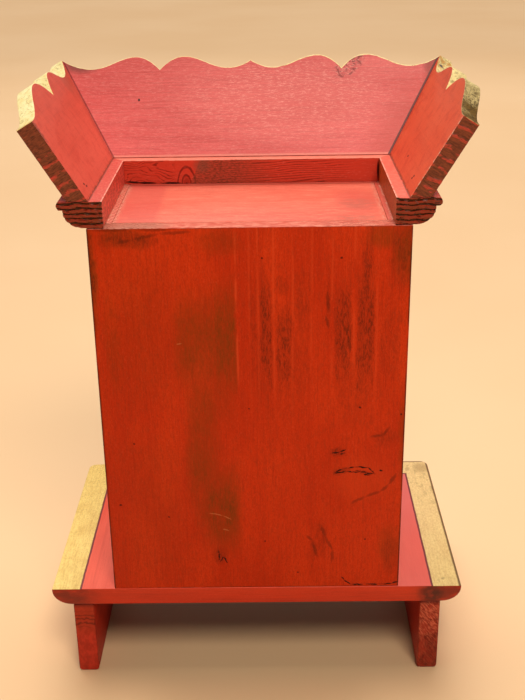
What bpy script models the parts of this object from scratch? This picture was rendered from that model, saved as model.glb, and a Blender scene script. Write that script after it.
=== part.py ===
"""Household altar cabinet: a niche on a footed base board, under a flared crown.

Metres, +Z up. The back of the cabinet looks along +Y and the open niche along -Y.
The origin is on the floor, at the middle of the base board's outline.
"""
import math

import bmesh
import bpy
from mathutils import Vector

# Driving dimensions, in metres

# Gap left between two pieces that touch.
SEAM = 0.0003

# Base board, with its back edge square and its three other edges rounded below.
BASE_WIDTH = 0.367
BASE_DEPTH = 0.230
BASE_THICKNESS = 0.0164
BASE_EDGE_FLAT = 0.0025
BASE_EDGE_ROUND_WIDTH = 0.0175
BASE_CORNER_RADIUS = 0.008

# Two foot panels under the base board.
FOOT_HEIGHT = 0.0736
FOOT_THICKNESS = 0.0183
FOOT_SIDE_INSET = 0.018
FOOT_FRONT_SETBACK = 0.021
FOOT_BOTTOM_RADIUS = 0.0035

# Cabinet of five boards that stands on the base board.
CABINET_WIDTH = 0.254
CABINET_DEPTH = 0.152
CABINET_HEIGHT = 0.3342
BACK_THICKNESS = 0.016
SIDE_THICKNESS = 0.018
TOP_THICKNESS = 0.016
FRONT_THICKNESS = 0.016

# Niche opening in the front frame, with a scalloped head.
OPENING_SIDE_MARGIN = 0.034
OPENING_SILL = 0.022
OPENING_TOP_MARGIN = 0.034
HEAD_NOTCH_TO_LOBE = 0.024
HEAD_LOBE_TO_HOLLOW = 0.033
HEAD_HOLLOW_TO_JAMB = 0.036
HEAD_LOBE_DROP = 0.014
HEAD_HOLLOW_DROP = 0.004
HEAD_JAMB_DROP = 0.028

# Moulded rails on the cabinet's top.
RAIL_HEIGHT = 0.0212
RAIL_WIDTH = 0.0355
RAIL_BEARING = 0.0136
RAIL_BEAD_HEIGHT = 0.0066
RAIL_BEAD_NOSE = 0.0024
RAIL_NECK_SETBACK = 0.0048
RAIL_NECK_HEIGHT = 0.0018

# Crown boards that lean outward on the rails. Heights run up the slope of the board.
CROWN_THICKNESS = 0.014
CROWN_LEAN_DEG = 31.0
CROWN_LEDGE = 0.0106
CROWN_HEIGHT = 0.0950
CORNER_PEAK_DROP = 0.0026

# Scallops of the front crown board, from its middle to its corner.
FRONT_PEAK_TO_DIP = 0.0205
FRONT_DIP_TO_HUMP = 0.0395
FRONT_HUMP_TO_NOTCH = 0.0220
FRONT_DIP_TO_CORNER = 0.0275
FRONT_PEAK_DROP = 0.0042
FRONT_DIP_DROP = 0.0112
FRONT_NOTCH_DROP = 0.0126

# Scallops of a side crown board, from its back end to its corner.
SIDE_END_TO_RISE = 0.006
SIDE_RISE_TO_HUMP = 0.061
SIDE_HUMP_TO_NOTCH = 0.034
SIDE_NOTCH_TO_HUMP = 0.027
SIDE_HUMP_TO_DIP = 0.042
SIDE_DIP_TO_CORNER = 0.028
SIDE_END_DROP = 0.0225
SIDE_HUMP_DROP = 0.0026
SIDE_NOTCH_DROP = 0.0195
SIDE_DIP_DROP = 0.0145

# Fineness of the curves.
CURVE_STEPS = 7
ARC_STEPS = 8

# Derived places

BACK_Y = BASE_DEPTH / 2
BASE_FRONT_Y = -BASE_DEPTH / 2
BASE_BOTTOM_Z = FOOT_HEIGHT + SEAM
BASE_TOP_Z = BASE_BOTTOM_Z + BASE_THICKNESS
CABINET_BOTTOM_Z = BASE_TOP_Z + SEAM
CABINET_TOP_Z = CABINET_BOTTOM_Z + CABINET_HEIGHT
CABINET_HALF_WIDTH = CABINET_WIDTH / 2
CABINET_FRONT_Y = BACK_Y - CABINET_DEPTH
RAIL_BOTTOM_Z = CABINET_TOP_Z + SEAM
RAIL_TOP_Z = RAIL_BOTTOM_Z + RAIL_HEIGHT
RAIL_INNER_HALF = CABINET_HALF_WIDTH - RAIL_BEARING
RAIL_INNER_Y = CABINET_FRONT_Y + RAIL_BEARING
CROWN_BOTTOM_Z = RAIL_TOP_Z + SEAM
CROWN_INNER_HALF = RAIL_INNER_HALF + CROWN_LEDGE
CROWN_INNER_Y = RAIL_INNER_Y - CROWN_LEDGE
CROWN_LEAN = math.radians(CROWN_LEAN_DEG)
MITRE_GAP = SEAM / math.sqrt(2)

RED = (0.46, 0.035, 0.016)
DEEP_RED = (0.33, 0.026, 0.016)
PINK_RED = (0.50, 0.075, 0.055)
BROWN_RED = (0.17, 0.020, 0.012)
PAINT_ROUGHNESS = 0.42


def paint(piece, colour):
    """Give a piece its own paint, named after it."""
    material = bpy.data.materials.new(piece.name + "_paint")
    material.use_nodes = True
    surface = material.node_tree.nodes["Principled BSDF"]
    surface.inputs["Base Color"].default_value = (*colour, 1.0)
    surface.inputs["Roughness"].default_value = PAINT_ROUGHNESS
    surface.inputs["Metallic"].default_value = 0.0
    material.diffuse_color = (*colour, 1.0)
    piece.data.materials.append(material)


def add_piece(name, shape, colour):
    """Turn a bmesh into a closed, outward facing object of the scene."""
    bmesh.ops.recalc_face_normals(shape, faces=shape.faces)
    mesh = bpy.data.meshes.new(name)
    shape.to_mesh(mesh)
    shape.free()
    mesh.shade_smooth()
    mesh.set_sharp_from_angle(angle=math.radians(28))
    piece = bpy.data.objects.new(name, mesh)
    bpy.context.scene.collection.objects.link(piece)
    paint(piece, colour)
    return piece


def loft(rings):
    """Join rings of equal count with quads, and close the first and the last."""
    shape = bmesh.new()
    made = [[shape.verts.new(point) for point in ring] for ring in rings]
    count = len(rings[0])
    for lower, upper in zip(made, made[1:]):
        for i in range(count):
            j = (i + 1) % count
            shape.faces.new((lower[i], lower[j], upper[j], upper[i]))
    shape.faces.new(list(reversed(made[0])))
    shape.faces.new(made[-1])
    return shape


def board(low, high):
    """A square board between two corners."""
    rings = []
    for z in (low[2], high[2]):
        rings.append([(low[0], low[1], z), (high[0], low[1], z), (high[0], high[1], z), (low[0], high[1], z)])
    return loft(rings)


def elliptic_arc(centre, radii, start_deg, end_deg, steps):
    """Points on part of an ellipse, both ends included."""
    points = []
    for i in range(steps + 1):
        turn = math.radians(start_deg + (end_deg - start_deg) * i / steps)
        points.append((centre[0] + radii[0] * math.cos(turn), centre[1] + radii[1] * math.sin(turn)))
    return points


def cut_flat(shape, point, outward):
    """Saw off what lies beyond a plane, and close the cut."""
    everything = shape.verts[:] + shape.edges[:] + shape.faces[:]
    bmesh.ops.bisect_plane(
        shape, geom=everything, dist=1e-7, plane_co=Vector(point), plane_no=Vector(outward), clear_outer=True)
    rim = [edge for edge in shape.edges if edge.is_boundary]
    bmesh.ops.holes_fill(shape, edges=rim, sides=0)


def scallop(stations):
    """A scalloped edge through stations of (place, height, form).

    A peak or a notch is a corner, and a hump, a dip or a level is round. Between two
    round stations the edge is an ogee, and from a round one to a corner it is a bow.
    """
    points = []
    for (start, low, form), (end, high, next_form) in zip(stations, stations[1:]):
        starts_round = form in ("hump", "dip", "level")
        ends_round = next_form in ("hump", "dip", "level")
        for i in range(CURVE_STEPS):
            t = i / CURVE_STEPS
            if starts_round and ends_round:
                share = (1 - math.cos(math.pi * t)) / 2
            elif starts_round:
                share = t * t
            else:
                share = 1 - (1 - t) * (1 - t)
            points.append((start + (end - start) * t, low + (high - low) * share))
    points.append(stations[-1][:2])
    return points


def fitted(spans, length):
    """Spans stretched by one factor so that they fill a length."""
    factor = length / sum(spans)
    return [span * factor for span in spans]


def base_board():
    """Base board: quarter ellipses under the left, right and front edges."""
    round_height = BASE_THICKNESS - BASE_EDGE_FLAT
    profile = elliptic_arc(
        (BASE_EDGE_ROUND_WIDTH, BASE_BOTTOM_Z + round_height),
        (BASE_EDGE_ROUND_WIDTH, round_height), 270, 180, ARC_STEPS)
    profile.append((0.0, BASE_TOP_Z))
    rings = []
    for inset, z in profile:
        half = BASE_WIDTH / 2 - inset
        front = BASE_FRONT_Y + inset
        radius = BASE_CORNER_RADIUS
        outline = [(-half, BACK_Y)]
        outline += elliptic_arc((-half + radius, front + radius), (radius, radius), 180, 270, ARC_STEPS)
        outline += elliptic_arc((half - radius, front + radius), (radius, radius), 270, 360, ARC_STEPS)
        outline.append((half, BACK_Y))
        rings.append([(x, y, z) for x, y in outline])
    return loft(rings)


def foot(side):
    """Foot panel with its two long lower edges rounded."""
    outer = BASE_WIDTH / 2 - FOOT_SIDE_INSET
    inner = outer - FOOT_THICKNESS
    radius = FOOT_BOTTOM_RADIUS
    section = elliptic_arc((inner + radius, radius), (radius, radius), 180, 270, ARC_STEPS // 2)
    section += elliptic_arc((outer - radius, radius), (radius, radius), 270, 360, ARC_STEPS // 2)
    section += [(outer, FOOT_HEIGHT), (inner, FOOT_HEIGHT)]
    ends = (BASE_FRONT_Y + FOOT_FRONT_SETBACK, BACK_Y)
    return loft([[(side * x, y, z) for x, z in section] for y in ends])


def rail_profile():
    """Rail section as (distance out from its inner face, height above its foot)."""
    bead_middle = RAIL_HEIGHT - RAIL_BEAD_HEIGHT / 2
    bead_end = RAIL_WIDTH - RAIL_BEAD_NOSE
    neck_out = RAIL_WIDTH - RAIL_NECK_SETBACK
    neck_low = RAIL_HEIGHT - RAIL_BEAD_HEIGHT - RAIL_NECK_HEIGHT
    foot_out = RAIL_BEARING + SEAM
    section = [(0.0, RAIL_HEIGHT), (0.0, 0.0)]
    section += elliptic_arc((foot_out, neck_low), (neck_out - foot_out, neck_low), 270, 360, ARC_STEPS)
    section.append((neck_out, RAIL_HEIGHT - RAIL_BEAD_HEIGHT))
    section += elliptic_arc((bead_end, bead_middle), (RAIL_BEAD_NOSE, RAIL_BEAD_HEIGHT / 2), 270, 450, ARC_STEPS)
    return section


def side_rail(side):
    """Rail along one side: square at the back, mitred at the front."""
    section = rail_profile()
    back = [(side * (RAIL_INNER_HALF + out), BACK_Y, RAIL_BOTTOM_Z + up) for out, up in section]
    front = []
    for out, up in section:
        mitre_y = RAIL_INNER_Y - out + MITRE_GAP
        front.append((side * (RAIL_INNER_HALF + out), mitre_y, RAIL_BOTTOM_Z + up))
    return loft([back, front])


def front_rail():
    """Rail along the front, mitred at both ends."""
    rings = []
    for side in (-1, 1):
        ring = []
        for out, up in rail_profile():
            mitre_x = side * (RAIL_INNER_HALF + out - MITRE_GAP)
            ring.append((mitre_x, RAIL_INNER_Y - out, RAIL_BOTTOM_Z + up))
        rings.append(ring)
    return loft(rings)


def crown_corner_reach():
    """How far the inner face has leaned out where the corner peak ends."""
    return (CROWN_HEIGHT - CORNER_PEAK_DROP) * math.sin(CROWN_LEAN)


def crown_spare():
    """Length past the inner corner that the mitre needs, and depth below the foot."""
    return CROWN_THICKNESS * 2


def crown_board(outline, along, outward, foot_point):
    """Board cut to an outline of (distance along, height up the slope)."""
    slope = Vector(outward) * math.sin(CROWN_LEAN) + Vector((0, 0, math.cos(CROWN_LEAN)))
    through = Vector(outward) * math.cos(CROWN_LEAN) - Vector((0, 0, math.sin(CROWN_LEAN)))
    rings = []
    for depth in (0.0, CROWN_THICKNESS):
        start = Vector(foot_point) + through * depth
        rings.append([start + Vector(along) * place + slope * height for place, height in outline])
    shape = loft(rings)
    cut_flat(shape, (0, 0, CROWN_BOTTOM_Z), (0, 0, -1))
    return shape


def front_crown():
    """Front crown board: two scallop modules side by side, mitred at both ends."""
    half = CROWN_INNER_HALF + crown_corner_reach()
    spans = fitted(
        [FRONT_PEAK_TO_DIP, FRONT_DIP_TO_HUMP, FRONT_HUMP_TO_NOTCH,
         FRONT_HUMP_TO_NOTCH, FRONT_DIP_TO_HUMP, FRONT_DIP_TO_CORNER], half)
    forms = [
        (FRONT_DIP_DROP, "dip"), (0.0, "hump"), (FRONT_NOTCH_DROP, "notch"),
        (0.0, "hump"), (FRONT_DIP_DROP, "dip"), (CORNER_PEAK_DROP, "peak")]
    stations = [(0.0, CROWN_HEIGHT - FRONT_PEAK_DROP, "peak")]
    place = 0.0
    for span, (drop, form) in zip(spans, forms):
        place += span
        stations.append((place, CROWN_HEIGHT - drop, form))
    right = scallop(stations)
    end = half + crown_spare()
    right.append((end, CROWN_HEIGHT - CORNER_PEAK_DROP))
    left = [(-x, height) for x, height in reversed(right[1:])]
    outline = left + right + [(end, -crown_spare()), (-end, -crown_spare())]
    shape = crown_board(outline, (1, 0, 0), (0, -1, 0), (0, CROWN_INNER_Y, CROWN_BOTTOM_Z))
    for side in (-1, 1):
        corner = (side * (CROWN_INNER_HALF - MITRE_GAP), CROWN_INNER_Y, 0)
        cut_flat(shape, corner, (side, 1, 0))
    return shape


def side_crown(side):
    """Side crown board: one scallop module, square at the back and mitred in front."""
    length = BACK_Y - CROWN_INNER_Y + crown_corner_reach()
    spans = fitted(
        [SIDE_END_TO_RISE, SIDE_RISE_TO_HUMP, SIDE_HUMP_TO_NOTCH,
         SIDE_NOTCH_TO_HUMP, SIDE_HUMP_TO_DIP, SIDE_DIP_TO_CORNER], length)
    forms = [
        (SIDE_END_DROP, "dip"), (SIDE_HUMP_DROP, "hump"), (SIDE_NOTCH_DROP, "notch"),
        (SIDE_HUMP_DROP, "hump"), (SIDE_DIP_DROP, "dip"), (CORNER_PEAK_DROP, "peak")]
    stations = [(0.0, CROWN_HEIGHT - SIDE_END_DROP, "level")]
    place = 0.0
    for span, (drop, form) in zip(spans, forms):
        place += span
        stations.append((place, CROWN_HEIGHT - drop, form))
    outline = scallop(stations)
    end = length + crown_spare()
    outline.append((end, CROWN_HEIGHT - CORNER_PEAK_DROP))
    outline += [(end, -crown_spare()), (0.0, -crown_spare())]
    foot_point = (side * CROWN_INNER_HALF, BACK_Y, CROWN_BOTTOM_Z)
    shape = crown_board(outline, (0, -1, 0), (side, 0, 0), foot_point)
    corner = (side * CROWN_INNER_HALF, CROWN_INNER_Y + MITRE_GAP, 0)
    cut_flat(shape, corner, (-side, -1, 0))
    return shape


def opening_outline():
    """Outline of the niche opening, seen from the front."""
    half = CABINET_HALF_WIDTH - OPENING_SIDE_MARGIN
    sill = CABINET_BOTTOM_Z + OPENING_SILL
    head = CABINET_TOP_Z - OPENING_TOP_MARGIN
    spans = fitted([HEAD_NOTCH_TO_LOBE, HEAD_LOBE_TO_HOLLOW, HEAD_HOLLOW_TO_JAMB], half)
    stations = [
        (0.0, head, "notch"),
        (spans[0], head - HEAD_LOBE_DROP, "hump"),
        (spans[0] + spans[1], head - HEAD_HOLLOW_DROP, "dip"),
        (half, head - HEAD_JAMB_DROP, "notch")]
    right = scallop(stations)
    left = [(-x, z) for x, z in reversed(right[1:])]
    return left + right + [(half, sill), (-half, sill)]


def front_frame():
    """Face board, with the niche opening cut out of it."""
    face_low = (-CABINET_HALF_WIDTH, CABINET_FRONT_Y, CABINET_BOTTOM_Z)
    face_high = (CABINET_HALF_WIDTH, CABINET_FRONT_Y + FRONT_THICKNESS, CABINET_TOP_Z)
    frame = add_piece("front_frame", board(face_low, face_high), RED)
    reach = (CABINET_FRONT_Y - FRONT_THICKNESS, CABINET_FRONT_Y + 2 * FRONT_THICKNESS)
    outline = opening_outline()
    cutter = add_piece("opening_cutter", loft([[(x, y, z) for x, z in outline] for y in reach]), RED)
    cutter.hide_render = True
    cutter.display_type = "WIRE"
    cut = frame.modifiers.new("niche_opening", "BOOLEAN")
    cut.operation = "DIFFERENCE"
    cut.solver = "EXACT"
    cut.object = cutter


def carcass():
    """The four boards behind the front frame."""
    half = CABINET_HALF_WIDTH
    back_face = BACK_Y - BACK_THICKNESS
    add_piece("back_board", board((-half, back_face, CABINET_BOTTOM_Z), (half, BACK_Y, CABINET_TOP_Z)), RED)
    side_front = CABINET_FRONT_Y + FRONT_THICKNESS + SEAM
    side_back = back_face - SEAM
    inner = half - SIDE_THICKNESS
    right = board((inner, side_front, CABINET_BOTTOM_Z), (half, side_back, CABINET_TOP_Z))
    left = board((-half, side_front, CABINET_BOTTOM_Z), (-inner, side_back, CABINET_TOP_Z))
    add_piece("side_board_right", right, RED)
    add_piece("side_board_left", left, RED)
    top_half = inner - SEAM
    top_low = (-top_half, side_front, CABINET_TOP_Z - TOP_THICKNESS)
    add_piece("top_board", board(top_low, (top_half, side_back, CABINET_TOP_Z)), PINK_RED)


def build():
    for old in list(bpy.data.objects):
        bpy.data.objects.remove(old, do_unlink=True)
    add_piece("base_board", base_board(), RED)
    add_piece("foot_left", foot(-1), DEEP_RED)
    add_piece("foot_right", foot(1), DEEP_RED)
    carcass()
    front_frame()
    add_piece("rail_front", front_rail(), RED)
    add_piece("rail_left", side_rail(-1), BROWN_RED)
    add_piece("rail_right", side_rail(1), BROWN_RED)
    add_piece("crown_front", front_crown(), PINK_RED)
    add_piece("crown_left", side_crown(-1), PINK_RED)
    add_piece("crown_right", side_crown(1), RED)


build()
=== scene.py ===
# %% [markdown]
# # Household altar cabinet in brushed red paint
# A small cabinet of pine boards stands on a low table with two panel feet. A moulded rail and three leaning
# crown boards go round its top. Everything is brushed with thin red paint, and the scalloped edges of the
# crown and the border of the table are gold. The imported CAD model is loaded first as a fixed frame, and each
# piece made below stands in for one of its solids.

# %% Load the frame
import math

import bmesh
import bpy
from mathutils import Matrix, Vector


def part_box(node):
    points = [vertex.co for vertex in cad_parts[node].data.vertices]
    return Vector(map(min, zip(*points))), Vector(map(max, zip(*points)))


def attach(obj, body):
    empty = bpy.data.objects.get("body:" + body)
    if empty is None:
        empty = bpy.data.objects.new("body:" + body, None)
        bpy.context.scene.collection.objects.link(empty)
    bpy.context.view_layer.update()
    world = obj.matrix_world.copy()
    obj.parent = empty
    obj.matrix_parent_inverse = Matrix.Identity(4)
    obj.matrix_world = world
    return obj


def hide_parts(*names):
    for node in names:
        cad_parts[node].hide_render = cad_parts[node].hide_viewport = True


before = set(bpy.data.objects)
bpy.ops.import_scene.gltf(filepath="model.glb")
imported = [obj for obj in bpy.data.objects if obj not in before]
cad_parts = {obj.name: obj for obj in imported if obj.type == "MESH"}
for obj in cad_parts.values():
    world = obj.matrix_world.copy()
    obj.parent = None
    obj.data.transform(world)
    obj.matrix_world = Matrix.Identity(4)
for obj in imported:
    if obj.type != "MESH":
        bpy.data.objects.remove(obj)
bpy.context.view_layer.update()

MM = 0.001
print("solids in the frame:", ", ".join(sorted(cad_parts)))

# %% [markdown]
# ## Camera
# The photograph was taken from behind and above the cabinet. Its edges gave the lens and the place of the
# camera, so both are written here as numbers. The camera's three axes are worked out from two angles and a
# small roll, which is more exact than pointing it with a constraint.

# %% Camera
PHOTO_HEIGHT_PX = 700
FOCAL_LENGTH_PX = 1075.7
SENSOR_MM = 36.0
CAMERA_PLACE = Vector((-0.016325, 0.919944, 0.661651))
CAMERA_YAW = math.radians(-0.539)
CAMERA_DOWN = math.radians(22.924)
CAMERA_ROLL = math.radians(-0.854)


def camera_axes(yaw, down, roll):
    """The camera's right, up and backward directions."""
    level = math.cos(down)
    forward = Vector((-math.sin(yaw) * level, -math.cos(yaw) * level, -math.sin(down)))
    right = forward.cross(Vector((0, 0, 1))).normalized()
    up = right.cross(forward)
    rolled_right = math.cos(roll) * right + math.sin(roll) * up
    rolled_up = math.cos(roll) * up - math.sin(roll) * right
    return rolled_right, rolled_up, -forward


def add_camera():
    lens = bpy.data.cameras.new("photo_camera")
    lens.sensor_width = SENSOR_MM
    lens.lens = SENSOR_MM * FOCAL_LENGTH_PX / PHOTO_HEIGHT_PX
    lens.clip_start = 0.01
    camera = bpy.data.objects.new("photo_camera", lens)
    turn = Matrix(camera_axes(CAMERA_YAW, CAMERA_DOWN, CAMERA_ROLL)).transposed().to_4x4()
    camera.matrix_world = Matrix.Translation(CAMERA_PLACE) @ turn
    bpy.context.scene.collection.objects.link(camera)
    bpy.context.scene.camera = camera
    return camera


camera = add_camera()
print("lens of", round(camera.data.lens, 1), "mm")

# %% [markdown]
# ## Wiring nodes like sums
# Materials and Geometry Nodes are both made of small nodes joined by links. Written one by one they hide the
# idea, so this class lets a value from any node be added, multiplied or compared like a number, and wires the
# Math nodes itself. The same class serves both kinds of tree.


# %% Values that wire themselves
class Value:
    """A number, vector or colour that runs through a node tree."""

    def __init__(self, wiring, socket):
        self.wiring = wiring
        self.socket = socket

    def __add__(self, other):
        return self.wiring.math("ADD", self, other)

    def __sub__(self, other):
        return self.wiring.math("SUBTRACT", self, other)

    def __rsub__(self, other):
        return self.wiring.math("SUBTRACT", other, self)

    def __mul__(self, other):
        return self.wiring.math("MULTIPLY", self, other)

    def __truediv__(self, other):
        return self.wiring.math("DIVIDE", self, other)

    __radd__ = __add__
    __rmul__ = __mul__

    def distance(self, other=0.0):
        """How far this value is from another one, never negative."""
        return self.wiring.math("ABSOLUTE", self - other)

    def at_least(self, other):
        return self.wiring.math("MAXIMUM", self, other)

    def at_most(self, other):
        return self.wiring.math("MINIMUM", self, other)

    def rise(self, low, high):
        """0 at low and 1 at high, with a soft start and end. low may be the larger of the two."""
        step = self.wiring.node("ShaderNodeMapRange", interpolation_type="SMOOTHSTEP", clamp=False)
        flipped = low > high
        ends = (high, low, 1.0, 0.0) if flipped else (low, high, 0.0, 1.0)
        self.wiring.feed(step.inputs["Value"], self)
        for name, end in zip(("From Min", "From Max", "To Min", "To Max"), ends):
            step.inputs[name].default_value = end
        return Value(self.wiring, step.outputs["Result"])


print("a value can be added, multiplied and compared")


# %% Nodes joined into a tree
class Wiring:
    """Adds nodes to one tree and joins them."""

    def __init__(self, tree):
        self.tree = tree

    def node(self, kind, **settings):
        made = self.tree.nodes.new(kind)
        for name, setting in settings.items():
            setattr(made, name, setting)
        return made

    def feed(self, socket, value):
        if isinstance(value, Value):
            self.tree.links.new(value.socket, socket)
        else:
            socket.default_value = value

    def math(self, operation, *values):
        made = self.node("ShaderNodeMath", operation=operation)
        for socket, value in zip(made.inputs, values):
            self.feed(socket, value)
        return Value(self, made.outputs[0])

    def vector(self, operation, *values, scale=None):
        made = self.node("ShaderNodeVectorMath", operation=operation)
        for socket, value in zip(made.inputs, values):
            self.feed(socket, value)
        if scale is not None:
            self.feed(made.inputs["Scale"], scale)
        return Value(self, made.outputs["Value" if operation in ("LENGTH", "DOT_PRODUCT") else "Vector"])

    def parts(self, vector):
        """The x, y and z of a vector."""
        made = self.node("ShaderNodeSeparateXYZ")
        self.feed(made.inputs[0], vector)
        return [Value(self, socket) for socket in made.outputs]

    def joined(self, x, y, z):
        made = self.node("ShaderNodeCombineXYZ")
        for socket, value in zip(made.inputs, (x, y, z)):
            self.feed(socket, value)
        return Value(self, made.outputs[0])

    def noise(self, place, size, detail=3.0, roughness=0.55, shift=0.0, output=0):
        """Mottling from 0 to 1, mostly near 0.5, with blotches of about that size along x, y and z."""
        closer = tuple(1.0 / span for span in size)
        scaled = self.vector("MULTIPLY_ADD", place, closer, (shift, 1.7 * shift, 2.3 * shift))
        made = self.node("ShaderNodeTexNoise", noise_dimensions="3D")
        self.feed(made.inputs["Vector"], scaled)
        for name, number in (("Scale", 1.0), ("Detail", detail), ("Roughness", roughness)):
            made.inputs[name].default_value = number
        return Value(self, made.outputs[output])


print("nodes can be joined into a tree")

# %% [markdown]
# ## A painted finish
# Every surface is pine under one or two coats of paint. A material here reads the object's own coordinates in
# millimetres, so that a mark can be put on a board by measuring it, and the paint stays on the wood when the
# object moves. `mark` is a soft oval, turned in the plane of a board, and `strokes` joins a few thin ovals
# into a scratch or a crack.

# %% Colours and masks
PLANES = {"xy": (0, 1), "xz": (0, 2), "yz": (1, 2)}


def srgb(red, green, blue):
    """A colour read from 0 to 255 on a screen, as the amounts of light that Blender reckons with."""
    shares = (c / 255 for c in (red, green, blue))
    return tuple(c / 12.92 if c <= 0.04045 else ((c + 0.055) / 1.055) ** 2.4 for c in shares) + (1.0,)


def strongest(masks):
    """The greatest of some masks."""
    masks = iter(masks)
    greatest = next(masks)
    for mask in masks:
        greatest = greatest.at_least(mask)
    return greatest


print("middle grey lets out", round(srgb(128, 128, 128)[0], 3), "of the light")


# %% Painted finishes
class Finish(Wiring):
    """A material that paints by the object's own coordinates, in millimetres."""

    def __init__(self, name, gloss=0.35):
        self.material = bpy.data.materials.new(name)
        self.material.use_nodes = True
        super().__init__(self.material.node_tree)
        self.shader = self.tree.nodes["Principled BSDF"]
        self.shader.inputs["Specular IOR Level"].default_value = gloss
        coordinates = self.node("ShaderNodeTexCoord")
        self.place = self.vector("SCALE", Value(self, coordinates.outputs["Object"]), scale=1 / MM)
        self.x, self.y, self.z = self.parts(self.place)

    def attribute(self, name):
        made = self.node("ShaderNodeAttribute", attribute_name=name)
        return Value(self, made.outputs["Fac"])

    def facing(self):
        """The x, y and z of the direction that the surface faces."""
        made = self.node("ShaderNodeNewGeometry")
        return self.parts(Value(self, made.outputs["Normal"]))

    def cloud(self, size, low, high, **settings):
        """Mottling turned into a mask: 0 below low and 1 above high."""
        return self.noise(self.place, size, **settings).rise(low, high)

    def wobbled(self, amount, size):
        """The place of each point, pushed about a little, so that a mark drawn with it has a ragged edge."""
        push = self.noise(self.place, (size, size, size), detail=2.0, output=1)
        centred = self.vector("SUBTRACT", push, (0.5, 0.5, 0.5))
        return self.vector("MULTIPLY_ADD", centred, (amount,) * 3, self.place)

    def mark(self, plane, centre, half, turn=0.0, soft=0.6, place=None):
        """A soft oval on a board that lies in the plane: 1 inside it and 0 outside."""
        first, second = PLANES[plane]
        squares = []
        for angle, reach in ((turn, half[0]), (turn + math.pi / 2, half[1])):
            axis = [0.0] * 3
            axis[first], axis[second] = math.cos(angle) / reach, math.sin(angle) / reach
            middle = axis[first] * centre[0] + axis[second] * centre[1]
            share = self.vector("DOT_PRODUCT", place or self.place, axis) - middle
            squares.append(share * share)
        return (squares[0] + squares[1]).rise(1.0, (1.0 - soft) ** 2)

    def panel(self, across, upward, span, rise, soft_span, soft_rise):
        """A patch as a broad brush leaves it, with its own softness at the sides and at the top and foot."""
        masks = []
        for value, (low, high), soft in ((across, span, soft_span), (upward, rise, soft_rise)):
            half = (high - low) / 2
            masks.append(value.distance((low + high) / 2).rise(half + soft, half - soft))
        return masks[0] * masks[1]

    def strokes(self, plane, points, half_width, soft=0.7, place=None):
        """A thin line through the points, as one oval from each point to the next."""
        def ovals():
            for (x0, y0), (x1, y1) in zip(points, points[1:]):
                centre = ((x0 + x1) / 2, (y0 + y1) / 2)
                half = (math.hypot(x1 - x0, y1 - y0) / 2 + half_width, half_width)
                yield self.mark(plane, centre, half, math.atan2(y1 - y0, x1 - x0), soft, place)
        return strongest(ovals())

    def mix(self, share, under, over):
        """One colour over another, where share is 1."""
        made = self.node("ShaderNodeMix", data_type="RGBA", clamp_factor=True)
        self.feed(made.inputs["Factor"], share)
        self.feed(made.inputs[6], under)
        self.feed(made.inputs[7], over)
        return Value(self, made.outputs[2])

    def arris_distance(self, low, high):
        """How far a point of a square board is from its nearest edge, in millimetres."""
        gaps = []
        for value, a, b in zip((self.x, self.y, self.z), low, high):
            gaps.append((b - a) / 2 - value.distance((a + b) / 2))
        nearest = gaps[0].at_most(gaps[1])
        return nearest.at_least(gaps[0].at_least(gaps[1]).at_most(gaps[2]))

    def finish(self, colour, relief, relief_mm, roughness):
        """Joins the colour, the roughness and the small relief to the shader."""
        bump = self.node("ShaderNodeBump")
        bump.inputs["Strength"].default_value = 1.0
        bump.inputs["Distance"].default_value = relief_mm * MM
        self.feed(bump.inputs["Height"], relief)
        self.feed(self.shader.inputs["Normal"], Value(self, bump.outputs["Normal"]))
        self.feed(self.shader.inputs["Base Color"], colour)
        self.feed(self.shader.inputs["Roughness"], roughness)
        return self.material


print("finishes read the object's coordinates in millimetres")

# %% [markdown]
# ## Thin red paint on pine
# The maker brushed thin paint along the grain. It is cloudy where it is thin, it lies in bands as wide as the
# brush, and the hard lines of the grain show through as fine dark streaks. The same few layers of stretched
# noise give all of it, and only the colours and the direction of the grain change from piece to piece.

# %% Coats of paint
PIT_AND_SHADOW_BROWN = srgb(38, 10, 5)
PALE_DUST_AND_GLINT = srgb(232, 150, 122)


def along(axis, length, width):
    """The size of a streak that runs along one axis."""
    return tuple(length if name == axis else width for name in "xyz")


def coats(paint, axis, full, thin, streak, shift=0.0, streak_share=0.3, band_share=0.2, grit_share=0.15):
    """Cloudy paint with brush bands, grain streaks and grit: its colour, and the height of its relief."""
    cloud = paint.cloud(along(axis, 130, 42), 0.34, 0.66, shift=shift)
    colour = paint.mix(cloud, full, thin)
    bands = paint.cloud(along(axis, 260, 5.0), 0.46, 0.72, detail=2.0, shift=shift + 3)
    colour = paint.mix(bands * band_share, colour, streak)
    fine = paint.noise(paint.place, along(axis, 26, 0.9), detail=4.0, roughness=0.7, shift=shift + 7)
    colour = paint.mix(fine.rise(0.46, 0.72) * streak_share, colour, streak)
    grit = paint.noise(paint.place, along(axis, 1.6, 0.8), detail=3.0, roughness=0.7, shift=shift + 11)
    colour = paint.mix(grit.rise(0.48, 0.70) * grit_share, colour, streak)
    # Pale specks: partly dust, partly painted glints of light on the grain.
    colour = paint.mix(grit.rise(0.44, 0.28) * 0.08, colour, PALE_DUST_AND_GLINT)
    return colour, fine * 0.6 + grit * 0.4


print("paint is laid in four layers")

# %% Worn arrises
ARRIS_WEAR = 0.6
ARRIS_WEAR_MM = 1.4


def worn_arris(paint, colour, low, high, worn):
    """Paint rubbed through, here and there, along the arrises of a square board."""
    near = paint.arris_distance(low, high).rise(ARRIS_WEAR_MM, 0.15)
    rub = near * paint.cloud((9, 9, 9), 0.42, 0.62, shift=21)
    return paint.mix(rub * ARRIS_WEAR, colour, worn)


def box_mm(node):
    """The lowest and highest corners of a solid, in millimetres."""
    low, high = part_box(node)
    return tuple(low / MM), tuple(high / MM)


print("back board, in mm:", [[round(c, 1) for c in corner] for corner in box_mm("back_board")])

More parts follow.
